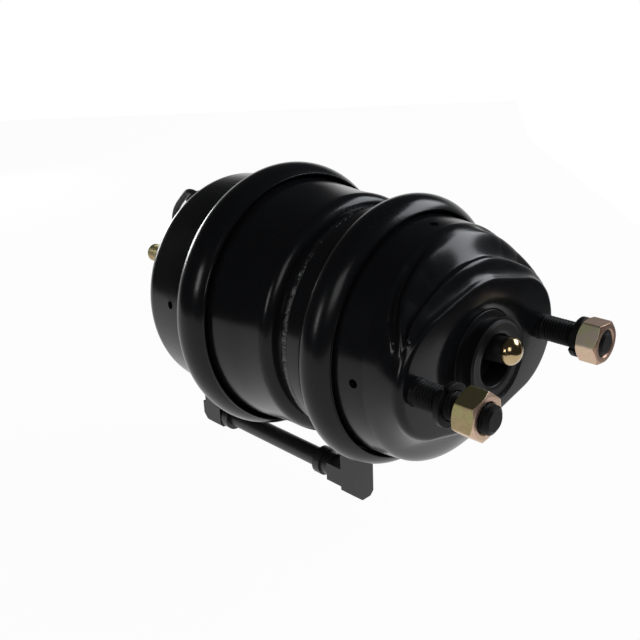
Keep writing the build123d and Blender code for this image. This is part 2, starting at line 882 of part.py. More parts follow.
return_front_x = plate_back - body_gap
service_return_spring = coil_spring(
    push_plate_x + push_plate_sheet + body_gap,
    return_front_x,
    return_rear_r,
    return_front_r,
    return_wire_r,
    return_turns,
)
service_return_spring.part.label = "service_return_spring"
export_step(service_return_spring.part, "parts/service_return_spring.step")

# ---- dust plug parked on the cone, its strap ringed on the release bolt ----
cone_lean = math.atan2(rear_knee_r - rear_cone_r, rear_knee_x - rear_cone_x)
plug_way = (-math.sin(cone_lean), 0, math.cos(cone_lean))
plug_x = rear_cone_x + plug_way[0] * running_clearance
plug_z = rear_cone_r + plug_way[2] * running_clearance
plug_top = (plug_x + plug_way[0] * plug_length, 0, plug_z + plug_way[2] * plug_length)
with BuildPart() as dust_plug:
    with BuildSketch(Plane(origin=(plug_x, 0, plug_z), x_dir=(0, 1, 0), z_dir=plug_way)):
        Circle(plug_r)
    extrude(amount=plug_length)
    with BuildSketch(Plane(origin=plug_top, x_dir=(0, 1, 0), z_dir=plug_way)):
        Circle(plug_cap_r)
    extrude(amount=-3)
    with BuildLine(Plane.XZ) as strap_path:
        FilletPolyline(
            (plug_top[0] + 2, plug_top[2] - 1),
            (rear_x - 5, 58.5),
            (rear_x - 19, 54.5),
            (rear_x - 24, 36),
            (strap_ring_x, strap_ring_r - 1),
            radius=[6, 7, 20],
        )
    with BuildSketch(Plane(origin=strap_path.line @ 0, z_dir=strap_path.line % 0)):
        Circle(strap_r)
    sweep(path=strap_path.line)
    with BuildSketch(Plane.YZ.offset(strap_ring_x - strap_r)):
        Circle(strap_ring_r)
    extrude(amount=2 * strap_r)
    with BuildSketch(Plane.YZ.offset(strap_ring_x - 3 * strap_r)):
        Circle(bolt_r + 2 * body_gap)
    extrude(amount=6 * strap_r, mode=Mode.SUBTRACT)
dust_plug.part.label = "dust_plug"
export_step(dust_plug.part, "parts/dust_plug.step")

# ---- vent pipe between the two elbows ----
with BuildPart() as vent_tube:
    with BuildSketch(Plane.YZ.offset(front_collar_x + socket_depth)):
        with Locations((vent_y, vent_z)):
            Circle(vent_r)
            Circle(vent_bore_r, mode=Mode.SUBTRACT)
    extrude(amount=rear_collar_x - front_collar_x - 2 * socket_depth)
vent_tube.part.label = "vent_tube"
export_step(vent_tube.part, "parts/vent_tube.step")

side_face = Plane(origin=(0, vent_y - elbow_half, 0), x_dir=(1, 0, 0), z_dir=(0, -1, 0))
with BuildPart() as front_elbow:
    with BuildSketch(side_face):
        with BuildLine():
            Polyline(
                (front_leg_x - front_leg_half, leg_top_z),
                (front_leg_x + front_leg_half, leg_top_z),
                (front_leg_x + front_leg_half, front_foot_z),
                (front_leg_x - front_leg_half, front_foot_z),
                (front_leg_x - front_leg_half, vent_z - 6.5),
                (front_arm_x, vent_z - 6.5),
                (front_arm_x, vent_z + 6.5),
                (front_leg_x - front_leg_half, vent_z + 6.5),
                close=True,
            )
        make_face()
    extrude(amount=-2 * elbow_half)
    foot_edges = front_elbow.faces().sort_by(Axis.Z)[0].edges().filter_by(Axis.X).sort_by(Axis.Y)
    chamfer(foot_edges[0], 8, 7)
    chamfer(foot_edges[1], 3)
    with BuildSketch(Plane.YZ.offset(front_arm_x)):
        with Locations((vent_y, vent_z)):
            Circle(collar_r - 1.5)
    extrude(amount=front_collar_x - front_arm_x)
    with BuildSketch(Plane.YZ.offset(front_collar_x + socket_depth)):
        with Locations((vent_y, vent_z)):
            Circle(collar_r)
    extrude(amount=-socket_depth)
    with BuildSketch(Plane.XY.offset(leg_top_z)):
        with Locations((front_leg_x, vent_y)):
            Circle(spigot_r)
    extrude(amount=front_spigot_top - leg_top_z)
    with BuildSketch(Plane.XY.offset(vent_z)):
        with Locations((front_leg_x, vent_y)):
            Circle(spigot_bore_r)
    extrude(amount=-vent_z, mode=Mode.SUBTRACT)
    with BuildSketch(Plane.YZ.offset(front_leg_x)):
        with Locations((vent_y, vent_z)):
            Circle(spigot_bore_r)
    extrude(amount=front_collar_x - front_leg_x, mode=Mode.SUBTRACT)
    with BuildSketch(Plane.YZ.offset(front_collar_x)):
        with Locations((vent_y, vent_z)):
            Circle(vent_r)
    extrude(amount=socket_depth, mode=Mode.SUBTRACT)
front_elbow.part.label = "front_elbow"
export_step(front_elbow.part, "parts/front_elbow.step")

with BuildPart() as rear_elbow:
    with BuildSketch(side_face):
        with BuildLine():
            Polyline(
                (rear_leg_x - 7, leg_top_z),
                (rear_leg_x + 7, leg_top_z),
                (rear_leg_x + 7, vent_z + 8.5),
                (rear_leg_x + rear_block_half, vent_z + 8.5),
                (rear_leg_x + rear_block_half, rear_foot_z),
                (rear_leg_x - rear_block_half + 6, rear_foot_z),
                (rear_leg_x - rear_block_half, rear_foot_z + 7),
                (rear_leg_x - rear_block_half, vent_z + 8.5),
                (rear_leg_x - 7, vent_z + 8.5),
                close=True,
            )
        make_face()
    extrude(amount=-2 * elbow_half)
    chamfer(rear_elbow.faces().sort_by(Axis.Z)[0].edges().filter_by(Axis.X), 2.5)
    with BuildSketch(Plane.YZ.offset(rear_leg_x + rear_block_half)):
        with Locations((vent_y, vent_z)):
            Circle(collar_r - 1.5)
    extrude(amount=rear_collar_x - rear_leg_x - rear_block_half)
    with BuildSketch(Plane.YZ.offset(rear_collar_x - socket_depth)):
        with Locations((vent_y, vent_z)):
            Circle(collar_r)
    extrude(amount=socket_depth)
    with BuildSketch(Plane.XY.offset(leg_top_z)):
        with Locations((rear_leg_x, vent_y)):
            Circle(spigot_r)
    extrude(amount=rear_spigot_top - leg_top_z)
    with BuildSketch(Plane.XY.offset(vent_z)):
        with Locations((rear_leg_x, vent_y)):
            Circle(spigot_bore_r)
    extrude(amount=-vent_z, mode=Mode.SUBTRACT)
    with BuildSketch(Plane.YZ.offset(rear_leg_x)):
        with Locations((vent_y, vent_z)):
            Circle(spigot_bore_r)
    extrude(amount=rear_collar_x - rear_leg_x, mode=Mode.SUBTRACT)
    with BuildSketch(Plane.YZ.offset(rear_collar_x)):
        with Locations((vent_y, vent_z)):
            Circle(vent_r)
    extrude(amount=-socket_depth, mode=Mode.SUBTRACT)
rear_elbow.part.label = "rear_elbow"
export_step(rear_elbow.part, "parts/rear_elbow.step")

with BuildPart() as elbow_seals:
    for x, top in ((front_leg_x, front_spigot_top), (rear_leg_x, rear_spigot_top)):
        with BuildSketch(Plane.XY.offset(leg_top_z)):
            with Locations((x, vent_y)):
                Circle(grommet_r)
                Circle(spigot_r, mode=Mode.SUBTRACT)
        extrude(amount=top - leg_top_z - body_gap)
elbow_seals.part.label = "elbow_seals"
export_step(elbow_seals.part, "parts/elbow_seals.step")
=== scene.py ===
import json
import math

import bmesh
import bpy
from mathutils import Matrix, Vector, noise


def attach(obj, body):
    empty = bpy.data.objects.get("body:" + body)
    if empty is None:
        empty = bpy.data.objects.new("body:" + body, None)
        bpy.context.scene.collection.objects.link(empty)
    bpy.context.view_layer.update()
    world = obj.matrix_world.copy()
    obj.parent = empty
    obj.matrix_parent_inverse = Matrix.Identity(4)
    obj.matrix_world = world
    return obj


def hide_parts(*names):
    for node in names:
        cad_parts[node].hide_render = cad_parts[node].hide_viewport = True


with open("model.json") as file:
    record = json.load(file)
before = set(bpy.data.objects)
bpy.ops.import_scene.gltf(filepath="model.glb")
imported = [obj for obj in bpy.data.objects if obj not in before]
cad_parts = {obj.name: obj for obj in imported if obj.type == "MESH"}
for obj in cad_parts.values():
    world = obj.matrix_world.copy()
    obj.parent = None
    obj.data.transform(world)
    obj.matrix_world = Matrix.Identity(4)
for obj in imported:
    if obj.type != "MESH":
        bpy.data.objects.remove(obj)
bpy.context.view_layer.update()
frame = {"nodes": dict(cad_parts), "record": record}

mm = 0.001
studY = 60.325 * mm
print("frame loaded")


def grey(value):
    return (value, value, value, 1.0)


def newMaterial(name):
    mat = bpy.data.materials.new(name)
    mat.use_nodes = True
    nodes = mat.node_tree.nodes
    return mat, nodes, mat.node_tree.links, nodes["Principled BSDF"]


def newGroup(name, inputs):
    # inputs are (name, starting value); every effect gives a colour, a roughness and a height
    group = bpy.data.node_groups.new(name, "ShaderNodeTree")
    for label, value in inputs:
        kind = "NodeSocketColor" if isinstance(value, tuple) else "NodeSocketFloat"
        socket = group.interface.new_socket(name=label, in_out="INPUT", socket_type=kind)
        socket.default_value = value
    for label, kind in (("Colour", "Color"), ("Roughness", "Float"), ("Height", "Float")):
        group.interface.new_socket(name=label, in_out="OUTPUT", socket_type="NodeSocket" + kind)
    return group, group.nodes.new("NodeGroupInput"), group.nodes.new("NodeGroupOutput")


def addNode(nodes, kind, settings=None, **values):
    node = nodes.new(kind)
    for key, value in (settings or {}).items():
        setattr(node, key, value)
    for key, value in values.items():
        node.inputs[key.replace("_", " ")].default_value = value
    return node


def useGroup(nodes, group, **values):
    node = nodes.new("ShaderNodeGroup")
    node.node_tree = group
    for key, value in values.items():
        node.inputs[key.replace("_", " ")].default_value = value
    return node


def feed(links, socket, value):
    # a socket takes a link from another node or a plain value
    if isinstance(value, bpy.types.NodeSocket):
        links.new(value, socket)
    else:
        socket.default_value = value


def combine(nodes, links, operation, first, second):
    node = nodes.new("ShaderNodeMath")
    node.operation = operation
    feed(links, node.inputs[0], first)
    feed(links, node.inputs[1], second)
    return node.outputs["Value"]


def spread(nodes, links, source, low, high, start=0.0, end=1.0):
    # stretches low to high over start to end
    node = nodes.new("ShaderNodeMapRange")
    feed(links, node.inputs["Value"], source)
    for label, value in (("From Min", low), ("From Max", high), ("To Min", start), ("To Max", end)):
        feed(links, node.inputs[label], value)
    return node.outputs["Result"]


def blendColours(nodes, links, kind, share, first, second):
    node = nodes.new("ShaderNodeMixRGB")
    node.blend_type = kind
    for socket, value in zip(node.inputs, (share, first, second)):
        feed(links, socket, value)
    return node.outputs["Color"]


wearLook = {
    "blotchScale": 22.0,
    "speckScale": 640.0,
    "patchScale": 35.0,
    "speckEdge": (0.16, 0.06),
    "patchEdge": (0.58, 0.72),
    "blotchEdge": (0.35, 0.75),
    "roughEdge": (0.3, 0.7),
    "lift": 0.9,
}


def buildWearGroup():
    # slow blotches, fine dust specks and a shallow ripple, all from object space
    group, start, end = newGroup(
        "surfaceWear",
        [
            ("Base", grey(0.01)), ("Dust Colour", grey(0.3)), ("Dust", 0.5), ("Blotch", 0.3),
            ("Smooth", 0.1), ("Rough", 0.3), ("Grain", 300.0),
        ],
    )
    nodes, links = group.nodes, group.links
    look, given = wearLook, start.outputs
    coord = nodes.new("ShaderNodeTexCoord")
    blotch = addNode(nodes, "ShaderNodeTexNoise", Scale=look["blotchScale"], Detail=5.0, Roughness=0.6)
    fine = addNode(nodes, "ShaderNodeTexNoise", Detail=3.0, Roughness=0.5)
    specks = addNode(nodes, "ShaderNodeTexVoronoi", Scale=look["speckScale"])
    patch = addNode(nodes, "ShaderNodeTexNoise", Scale=look["patchScale"], Detail=2.0)
    for node in (blotch, fine, specks, patch):
        links.new(coord.outputs["Object"], node.inputs["Vector"])
    links.new(given["Grain"], fine.inputs["Scale"])
    # a speck is the middle of a cell, kept only where the patches are high
    dot = spread(nodes, links, specks.outputs["Distance"], *look["speckEdge"])
    area = spread(nodes, links, patch.outputs["Fac"], *look["patchEdge"])
    dust = combine(nodes, links, "MULTIPLY", combine(nodes, links, "MULTIPLY", dot, area), given["Dust"])
    lift = spread(nodes, links, blotch.outputs["Fac"], *look["blotchEdge"])
    lift = combine(nodes, links, "MULTIPLY", lift, given["Blotch"])
    brighter = blendColours(nodes, links, "SOFT_LIGHT", lift, given["Base"], grey(look["lift"]))
    dusted = blendColours(nodes, links, "MIX", dust, brighter, given["Dust Colour"])
    rough = spread(nodes, links, blotch.outputs["Fac"], *look["roughEdge"], given["Smooth"], given["Rough"])
    links.new(dusted, end.inputs["Colour"])
    links.new(combine(nodes, links, "MAXIMUM", rough, dust), end.inputs["Roughness"])
    links.new(combine(nodes, links, "ADD", fine.outputs["Fac"], dust), end.inputs["Height"])
    return group


filmLook = {
    "cloudScale": 95.0,
    "fineScale": 900.0,
    "cloudEdge": (0.42, 0.62),
    "stainEdge": (0.4, 0.7),
    "stainColour": (0.35, 0.30, 0.22, 1),
    "roughness": (0.34, 0.50),
}


def buildZincGroup():
    # yellow zinc: one film colour drifts into another in slow clouds, broken by fine stains
    group, start, end = newGroup(
        "zincFilm",
        [("Main", (0.5, 0.45, 0.25, 1)), ("Cloud", (0.6, 0.45, 0.35, 1)), ("Amount", 0.6), ("Stain", 0.25)],
    )
    nodes, links = group.nodes, group.links
    look, given = filmLook, start.outputs
    coord = nodes.new("ShaderNodeTexCoord")
    cloud = addNode(
        nodes, "ShaderNodeTexNoise", Scale=look["cloudScale"], Detail=2.0, Roughness=0.5, Distortion=0.4
    )
    fine = addNode(nodes, "ShaderNodeTexNoise", Scale=look["fineScale"], Detail=4.0, Roughness=0.6)
    for node in (cloud, fine):
        links.new(coord.outputs["Object"], node.inputs["Vector"])
    drift = spread(nodes, links, cloud.outputs["Fac"], *look["cloudEdge"])
    drift = combine(nodes, links, "MULTIPLY", drift, given["Amount"])
    hue = blendColours(nodes, links, "MIX", drift, given["Main"], given["Cloud"])
    stain = spread(nodes, links, fine.outputs["Fac"], *look["stainEdge"])
    stain = combine(nodes, links, "MULTIPLY", stain, given["Stain"])
    links.new(blendColours(nodes, links, "MULTIPLY", stain, hue, look["stainColour"]), end.inputs["Colour"])
    rough = spread(nodes, links, fine.outputs["Fac"], 0.0, 1.0, *look["roughness"])
    links.new(rough, end.inputs["Roughness"])
    links.new(fine.outputs["Fac"], end.inputs["Height"])
    return group


wearGroup = buildWearGroup()
zincGroup = buildZincGroup()


def addBump(nodes, links, shader, source, strength, distance):
    bump = addNode(nodes, "ShaderNodeBump", Strength=strength, Distance=distance)
    links.new(source, bump.inputs["Height"])
    links.new(bump.outputs["Normal"], shader.inputs["Normal"])


def coated(name, look):
    mat, nodes, links, shader = newMaterial(name)
    wear = useGroup(
        nodes, wearGroup, Base=look["colour"], Dust_Colour=look["dustColour"], Dust=look["dust"],
        Blotch=look["blotch"], Smooth=look["rough"][0], Rough=look["rough"][1], Grain=look["grain"],
    )
    links.new(wear.outputs["Colour"], shader.inputs["Base Color"])
    links.new(wear.outputs["Roughness"], shader.inputs["Roughness"])
    shader.inputs["Metallic"].default_value = look.get("metallic", 0.0)
    shader.inputs["IOR"].default_value = look.get("ior", 1.5)
    addBump(nodes, links, shader, wear.outputs["Height"], look["bump"], look["bumpDepth"])
    return mat


paintLook = {
    "colour": (0.0065, 0.0068, 0.0078, 1),
    "dustColour": grey(0.35),
    "dust": 0.2,
    "blotch": 0.25,
    "rough": (0.16, 0.26),
    "ior": 1.3,
    "grain": 260.0,
    "bump": 0.12,
    "bumpDepth": 0.0002,
}
weldLook = dict(paintLook, rough=(0.08, 0.16), grain=700.0, bump=1.1, bumpDepth=0.0005, dust=0.6, ior=1.6)
plasticLook = {
    "colour": (0.0095, 0.0098, 0.0105, 1),
    "dustColour": grey(0.25),
    "dust": 0.2,
    "blotch": 0.3,
    "rough": (0.32, 0.46),
    "grain": 1800.0,
    "bump": 0.12,
    "bumpDepth": 0.0001,
}
rubberLook = {
    "colour": (0.011, 0.011, 0.012, 1),
    "dustColour": grey(0.3),
    "dust": 0.5,
    "blotch": 0.5,
    "rough": (0.42, 0.62),
    "grain": 1500.0,
    "bump": 0.15,
    "bumpDepth": 0.00015,
}
phosphateLook = dict(
    rubberLook, colour=(0.018, 0.018, 0.019, 1), dust=0.4, rough=(0.28, 0.44), metallic=0.5, grain=1600.0,
    bumpDepth=0.0001,
)
steelLook = dict(
    plasticLook, colour=(0.30, 0.30, 0.31, 1), dustColour=grey(0.12), dust=0.3, blotch=0.4,
    rough=(0.25, 0.42), metallic=1.0, grain=900.0, bump=0.1,
)
studFinish = dict(
    phosphateLook, colour=(0.006, 0.006, 0.0065, 1), metallic=0.0, rough=(0.42, 0.52), dust=0.3, ior=1.22
)
sealFinish = dict(rubberLook, colour=(0.006, 0.006, 0.007, 1), rough=(0.40, 0.50), blotch=0.3, ior=1.28)
acetalLook = dict(plasticLook, colour=(0.72, 0.70, 0.64, 1), dustColour=grey(0.4))

blackPaint = coated("blackPaint", paintLook)
weldPaint = coated("weldPaint", weldLook)
blackPlastic = coated("blackPlastic", plasticLook)
blackRubber = coated("blackRubber", rubberLook)
blackSteel = coated("blackSteel", phosphateLook)
plainSteel = coated("plainSteel", steelLook)
springSteel = coated("springSteel", dict(phosphateLook, rough=(0.3, 0.4)))
studBlack = coated("studBlack", studFinish)
sealRubber = coated("sealRubber", sealFinish)
rodBlack = coated("rodBlack", dict(phosphateLook, colour=(0.012, 0.012, 0.012, 1), rough=(0.4, 0.5)))
whiteAcetal = coated("whiteAcetal", acetalLook)


def buildYellowZinc(name, main, cloud, amount, stain):
    mat, nodes, links, shader = newMaterial(name)
    film = useGroup(nodes, zincGroup, Main=main, Cloud=cloud, Amount=amount, Stain=stain)
    links.new(film.outputs["Colour"], shader.inputs["Base Color"])
    links.new(film.outputs["Roughness"], shader.inputs["Roughness"])
    shader.inputs["Metallic"].default_value = 1.0
    addBump(nodes, links, shader, film.outputs["Height"], 0.12, 0.0002)
    return mat


# each film's main colour and cloud colour, how much cloud it has and how strong its stains are
zincLooks = {
    "oliveZinc": ((0.40, 0.37, 0.17, 1), (0.44, 0.31, 0.20, 1), 0.6, 0.3),
    "pinkZinc": ((0.66, 0.46, 0.36, 1), (0.60, 0.50, 0.30, 1), 0.45, 0.2),
    # the pale film is much brighter than the others: on the flats that take it, it is partly a painted
    # highlight
    "paleZincAndHighlight": ((0.86, 0.82, 0.50, 1), (0.90, 0.76, 0.66, 1), 0.8, 0.15),
    "bronzeZinc": ((0.42, 0.26, 0.20, 1), (0.50, 0.42, 0.22, 1), 0.5, 0.3),
    "boltZinc": ((0.46, 0.42, 0.20, 1), (0.52, 0.36, 0.24, 1), 0.6, 0.5),
}
oliveZinc, pinkZinc, paleZincAndHighlight, bronzeZinc, boltZinc = [
    buildYellowZinc(name, *look) for name, look in zincLooks.items()
]


brassFinish = {
    "tarnish": ((0.3, (0.38, 0.28, 0.15, 1)), (0.7, (0.50, 0.38, 0.21, 1))),
    "tarnishScale": 120.0,
    "ringScale": 700.0,
    "rough": 0.14,
}


def buildBrass():
    look = brassFinish
    mat, nodes, links, shader = newMaterial("turnedBrass")
    coord = nodes.new("ShaderNodeTexCoord")
    tarnish = addNode(nodes, "ShaderNodeTexNoise", Scale=look["tarnishScale"], Detail=5.0)
    links.new(coord.outputs["Object"], tarnish.inputs["Vector"])
    ramp = nodes.new("ShaderNodeValToRGB")
    for stop, (place, colour) in zip(ramp.color_ramp.elements, look["tarnish"]):
        stop.position, stop.color = place, colour
    links.new(tarnish.outputs["Fac"], ramp.inputs["Fac"])
    links.new(ramp.outputs["Color"], shader.inputs["Base Color"])
    # fine turning marks round the nose
    rings = addNode(
        nodes, "ShaderNodeTexWave", {"bands_direction": "X"}, Scale=look["ringScale"], Distortion=2.0
    )
    links.new(coord.outputs["Object"], rings.inputs["Vector"])
    addBump(nodes, links, shader, rings.outputs["Fac"], 0.1, 0.0001)
    shader.inputs["Metallic"].default_value = 1.0
    shader.inputs["Roughness"].default_value = look["rough"]
    return mat


turnedBrass = buildBrass()

slotMaterials = {
    "black_paint": blackPaint,
    "black_steel": blackSteel,
    "bare_steel": plainSteel,
    "yellow_zinc": oliveZinc,
    "spring_steel": springSteel,
    "rubber": blackRubber,
    "black_plastic": blackPlastic,
    "white_plastic": whiteAcetal,
    "brass": turnedBrass,
}


def paintNodes():
    # every CAD node takes the finish of its slot in the record
    for part in frame["record"]["subparts"]:
        obj = frame["nodes"][part["node"]]
        finish = slotMaterials[part["material_slot"]]
        if not obj.material_slots:
            obj.data.materials.append(finish)
        for place in obj.material_slots:
            place.material = finish
    for place in frame["nodes"]["pushrod"].material_slots:
        place.material = rodBlack


paintNodes()
print("materials done")


def addObject(name, data):
    made = bpy.data.objects.new(name, data)
    bpy.context.scene.collection.objects.link(made)
    return made


# a piece is built from points and faces, shaded smooth, and sharp where it turns quickly
def buildPiece(name, points, faces, finish, body, nodes, slotName, sharp=32, merge=1e-6):
    mesh = bpy.data.meshes.new(name)
    mesh.from_pydata(points, [], faces)
    work = bmesh.new()
    work.from_mesh(mesh)
    bmesh.ops.remove_doubles(work, verts=work.verts, dist=merge)
    bmesh.ops.dissolve_degenerate(work, edges=work.edges, dist=merge)
    bmesh.ops.recalc_face_normals(work, faces=work.faces)
    for face in work.faces:
        face.smooth = True
    for edge in work.edges:
        if edge.is_manifold:
            edge.smooth = edge.calc_face_angle(0) < math.radians(sharp)
    work.to_mesh(mesh)
    work.free()
    mesh.materials.append(finish)
    piece = addObject(name, mesh)
    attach(piece, body)
    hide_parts(*nodes)
    return piece


def joinMeshes(*meshes):
    points, faces = [], []
    for extraPoints, extraFaces in meshes:
        start = len(points)
        points += extraPoints
        faces += [tuple(index + start for index in face) for face in extraFaces]
    return points, faces


def turnsAround(count, first=0.0):
    return [first + 2 * math.pi * step / count for step in range(count)]


def ringFaces(rings, segments):
    # quads between rings of points, with a cap at each end
    faces = []
    for row in range(rings - 1):
        for step in range(segments):
            here, after = row * segments + step, row * segments + (step + 1) % segments
            faces.append((here, after, after + segments, here + segments))
    faces.append(tuple(range(segments))[::-1])
    faces.append(tuple(range((rings - 1) * segments, rings * segments)))
    return faces


def lineFaces(lines, count, closed=True, around=True):
    # quads between neighbouring lines of count points each
    faces = []
    for step in range(lines if around else lines - 1):
        here, after = step * count, (step + 1) % lines * count
        for row in range(count if closed else count - 1):
            up = (row + 1) % count
            faces.append((here + row, after + row, after + up, here + up))
    return faces


def ringGrid(stations, segments, radiusAt, centre):
    # rings about a line along X, each point's distance from the line given by radiusAt
    points = []
    for x in stations:
        for turn in turnsAround(segments):
            reach = radiusAt(x, turn)
            points.append((x, centre + reach * math.cos(turn), reach * math.sin(turn)))
    return points, ringFaces(len(stations), segments)


def spinLines(lineAt, segments, centre=0.0, firstTurn=0.0):
    # lineAt gives the closed (x, r) outline at each turn about a line along X
    points = []
    for turn in turnsAround(segments, firstTurn):
        line = lineAt(turn)
        points += [(x, centre + reach * math.cos(turn), reach * math.sin(turn)) for x, reach in line]
    return points, lineFaces(segments, len(line))


def spinProfile(profile, segments, scale=mm):
    # one (x, r) outline, in millimetres, turned about the X axis
    points = []
    for turn in turnsAround(segments):
        for x, reach in profile:
            points.append((x * scale, reach * scale * math.cos(turn), reach * scale * math.sin(turn)))
    return points, lineFaces(segments, len(profile))


def smoothLine(knots, pieces=6):
    # a Catmull-Rom line through the knots
    line = []
    for index in range(len(knots) - 1):
        before = Vector(knots[max(index - 1, 0)])
        start, end = Vector(knots[index]), Vector(knots[index + 1])
        beyond = Vector(knots[min(index + 2, len(knots) - 1)])
        for step in range(pieces):
            t = step / pieces
            square = (2 * before - 5 * start + 4 * end - beyond) * t**2
            cube = (3 * start - before - 3 * end + beyond) * t**3
            line.append(0.5 * (2 * start + (end - before) * t + square + cube))
    line.append(Vector(knots[-1]))
    return line


def tubeAlong(line, widthAt, segments, flat=1.0):
    # a round or flattened tube that follows a line in the XZ plane
    points = []
    side = Vector((0, 1, 0))
    for index, place in enumerate(line):
        way = (line[min(index + 1, len(line) - 1)] - line[max(index - 1, 0)]).normalized()
        up = side.cross(way).normalized()
        reach = widthAt(index / (len(line) - 1))
        for turn in turnsAround(segments):
            points.append(tuple(place + side * reach * math.cos(turn) + up * reach * flat * math.sin(turn)))
    return points, ringFaces(len(line), segments)


studLook = {
    "crest": 7.85 * mm,
    "root": 6.95 * mm,
    "pitch": 2.0 * mm,
    "knurl": 8.15 * mm,
    "knurlDepth": 0.12 * mm,
    "knurlTeeth": 36,
    "headR": 11 * mm,
    "headFlat": 8.2 * mm,
    "headBack": -14.5 * mm,
    "headFront": -8.5 * mm,
    "step": 0.01 * mm,
    "collar": (-0.2 * mm, 0.5 * mm, 1.1 * mm),
    "threadStart": 2.5 * mm,
    "runOut": 1.8 * mm,
    "dogR": 5.6 * mm,
    "dogRound": 0.3 * mm,
    "dogStart": 0.35 * mm,
    "nearEnd": 49.5 * mm,
    "farEnd": 43.6 * mm,
    "segments": 48,
    "slices": 8,
}


def threadRadius(look, x, turn, start, end):
    # trapezoid thread with its crest at phase 0, faded at both ends
    phase = (x / look["pitch"] - turn / (2 * math.pi)) % 1
    rise = min(max((abs(phase - 0.5) * 2 - 0.18) / 0.6, 0), 1)
    depth = look["crest"] - look["root"]
    fade = min(max((x - start) / look["pitch"], 0), 1) * min(max((end - x) / look["pitch"], 0), 1)
    return look["crest"] - depth * (1 - rise) * fade


def threadStations(look, end):
    step = look["pitch"] / look["slices"]
    count = int((end - look["threadStart"]) / step)
    return [look["threadStart"] + index * step for index in range(count + 1)]


def buildStud(side, reach):
    look = studLook
    threadEnd = reach - look["runOut"]
    collarEnd = look["collar"][1]
    stations = [look["headBack"], look["headBack"] + look["step"]]
    stations += [look["headFront"], look["headFront"] + look["step"], *look["collar"]]
    stations += threadStations(look, threadEnd)
    stations += [threadEnd + 0.3 * mm, reach - look["dogStart"], reach]

    def radiusAt(x, turn):
        if x <= look["headFront"]:
            outward = side * math.cos(turn)
            limit = look["headFlat"] / outward if outward > 0 else look["headR"]
            return min(look["headR"], limit)
        if x <= collarEnd:
            return look["knurl"] + look["knurlDepth"] * math.cos(look["knurlTeeth"] * turn)
        if x >= reach - 0.001 * mm:
            return look["dogR"]
        if x >= reach - 0.4 * mm:
            return look["dogR"] + look["dogRound"]
        return threadRadius(look, x, turn, look["threadStart"], threadEnd)

    return ringGrid(stations, look["segments"], radiusAt, side * studY)


def buildStuds():
    shapes = joinMeshes(buildStud(-1, studLook["nearEnd"]), buildStud(1, studLook["farEnd"]))
    buildPiece("threadedStuds", *shapes, studBlack, "housing", ["mounting_studs"], "black_steel")


def nutProfile(look, turn):
    # one side of the hexagon at a turn: countersunk bore, faces, 30 degree chamfers and the flat
    flat = look["flats"] / 2
    away = (turn - look["turn"] + math.pi / 6) % (math.pi / 3) - math.pi / 6
    reach = flat / math.cos(math.pi / 6 - abs(away))
    corner = flat / math.cos(math.pi / 6)
    reach = min(reach, corner - look["softCorner"])
    lead = look["faceShare"] * flat
    drop = max(reach - lead, 0) * math.tan(math.radians(30))
    back, front = look["x"], look["x"] + look["height"]
    bore, sink = look["bore"], look["countersink"]
    return [
        (back + sink, bore), (back, bore + sink), (back, lead), (back + drop, reach),
        (front - drop, reach), (front, lead), (front, bore + sink), (front - sink, bore),
    ]


def paintFacets(piece, look, finishes):
    # each flat, and the two faces with their chamfers, take one of the zinc films; which film a flat takes is
    # partly the zinc's own tint and partly painted highlight and shade for that flat
    mesh = piece.data
    mesh.materials.clear()
    for finish in finishes:
        mesh.materials.append(finish)
    for face in mesh.polygons:
        if abs(face.normal.x) > 0.3:
            face.material_index = look["faceFilmAndShade"]
        else:
            turn = math.atan2(face.normal.z, face.normal.y) - look["turn"]
            face.material_index = look["flatFilmsAndShades"][int((turn % (2 * math.pi)) / (math.pi / 3))]


def soften(piece, width, angle):
    bevel = piece.modifiers.new("softEdge", "BEVEL")
    bevel.width = width
    bevel.segments = 2
    bevel.limit_method = "ANGLE"
    bevel.angle_limit = math.radians(angle)
    bevel.harden_normals = True


def buildNut(name, look, body):
    def lineAt(turn):
        return nutProfile(look, turn)

    points, faces = spinLines(lineAt, look["segments"], look["y"], look["turn"])
    sharp = look["sharp"]
    piece = buildPiece(name, points, faces, oliveZinc, body, [body], "yellow_zinc", sharp=sharp)
    paintFacets(piece, look, [oliveZinc, pinkZinc, paleZincAndHighlight, bronzeZinc])
    soften(piece, look["edge"], sharp)


nutLook = {
    "flats": 24 * mm,
    "height": 13.6 * mm,
    "bore": 7.98 * mm,
    "countersink": 1.0 * mm,
    "faceShare": 0.95,
    "softCorner": 0.12 * mm,
    "edge": 0.18 * mm,
    "sharp": 24,
    "segments": 144,
}
# per flat and per face, the film it takes: partly the zinc's own tint, partly painted highlight and shade
nearNutLook = dict(
    nutLook, x=31.1 * mm, y=-studY, turn=math.radians(82), faceFilmAndShade=1, flatFilmsAndShades=[0, 0, 1, 0, 0, 2]
)
farNutLook = dict(
    nutLook, x=29.1 * mm, y=studY, turn=math.radians(58.5), faceFilmAndShade=3, flatFilmsAndShades=[1, 2, 1, 0, 2, 1]
)
releaseNutLook = dict(
    nutLook, flats=22 * mm, height=12 * mm, bore=7.12 * mm, x=-285.3 * mm, y=0, turn=math.radians(8),
    faceFilmAndShade=0, flatFilmsAndShades=[0, 1, 0, 2, 0, 1],
)

washerLook = {
    "inner": 8.35 * mm,
    "outer": 12.3 * mm,
    "thick": 3.7 * mm,
    "round": 0.35 * mm,
    "gap": math.radians(9),
    "near": {"x": 22 * mm, "y": -studY, "rise": 1.3 * mm, "turn": math.radians(118)},
    "far": {"x": 26.8 * mm, "y": studY, "rise": 0.9 * mm, "turn": math.radians(200)},
    "segments": 72,
}


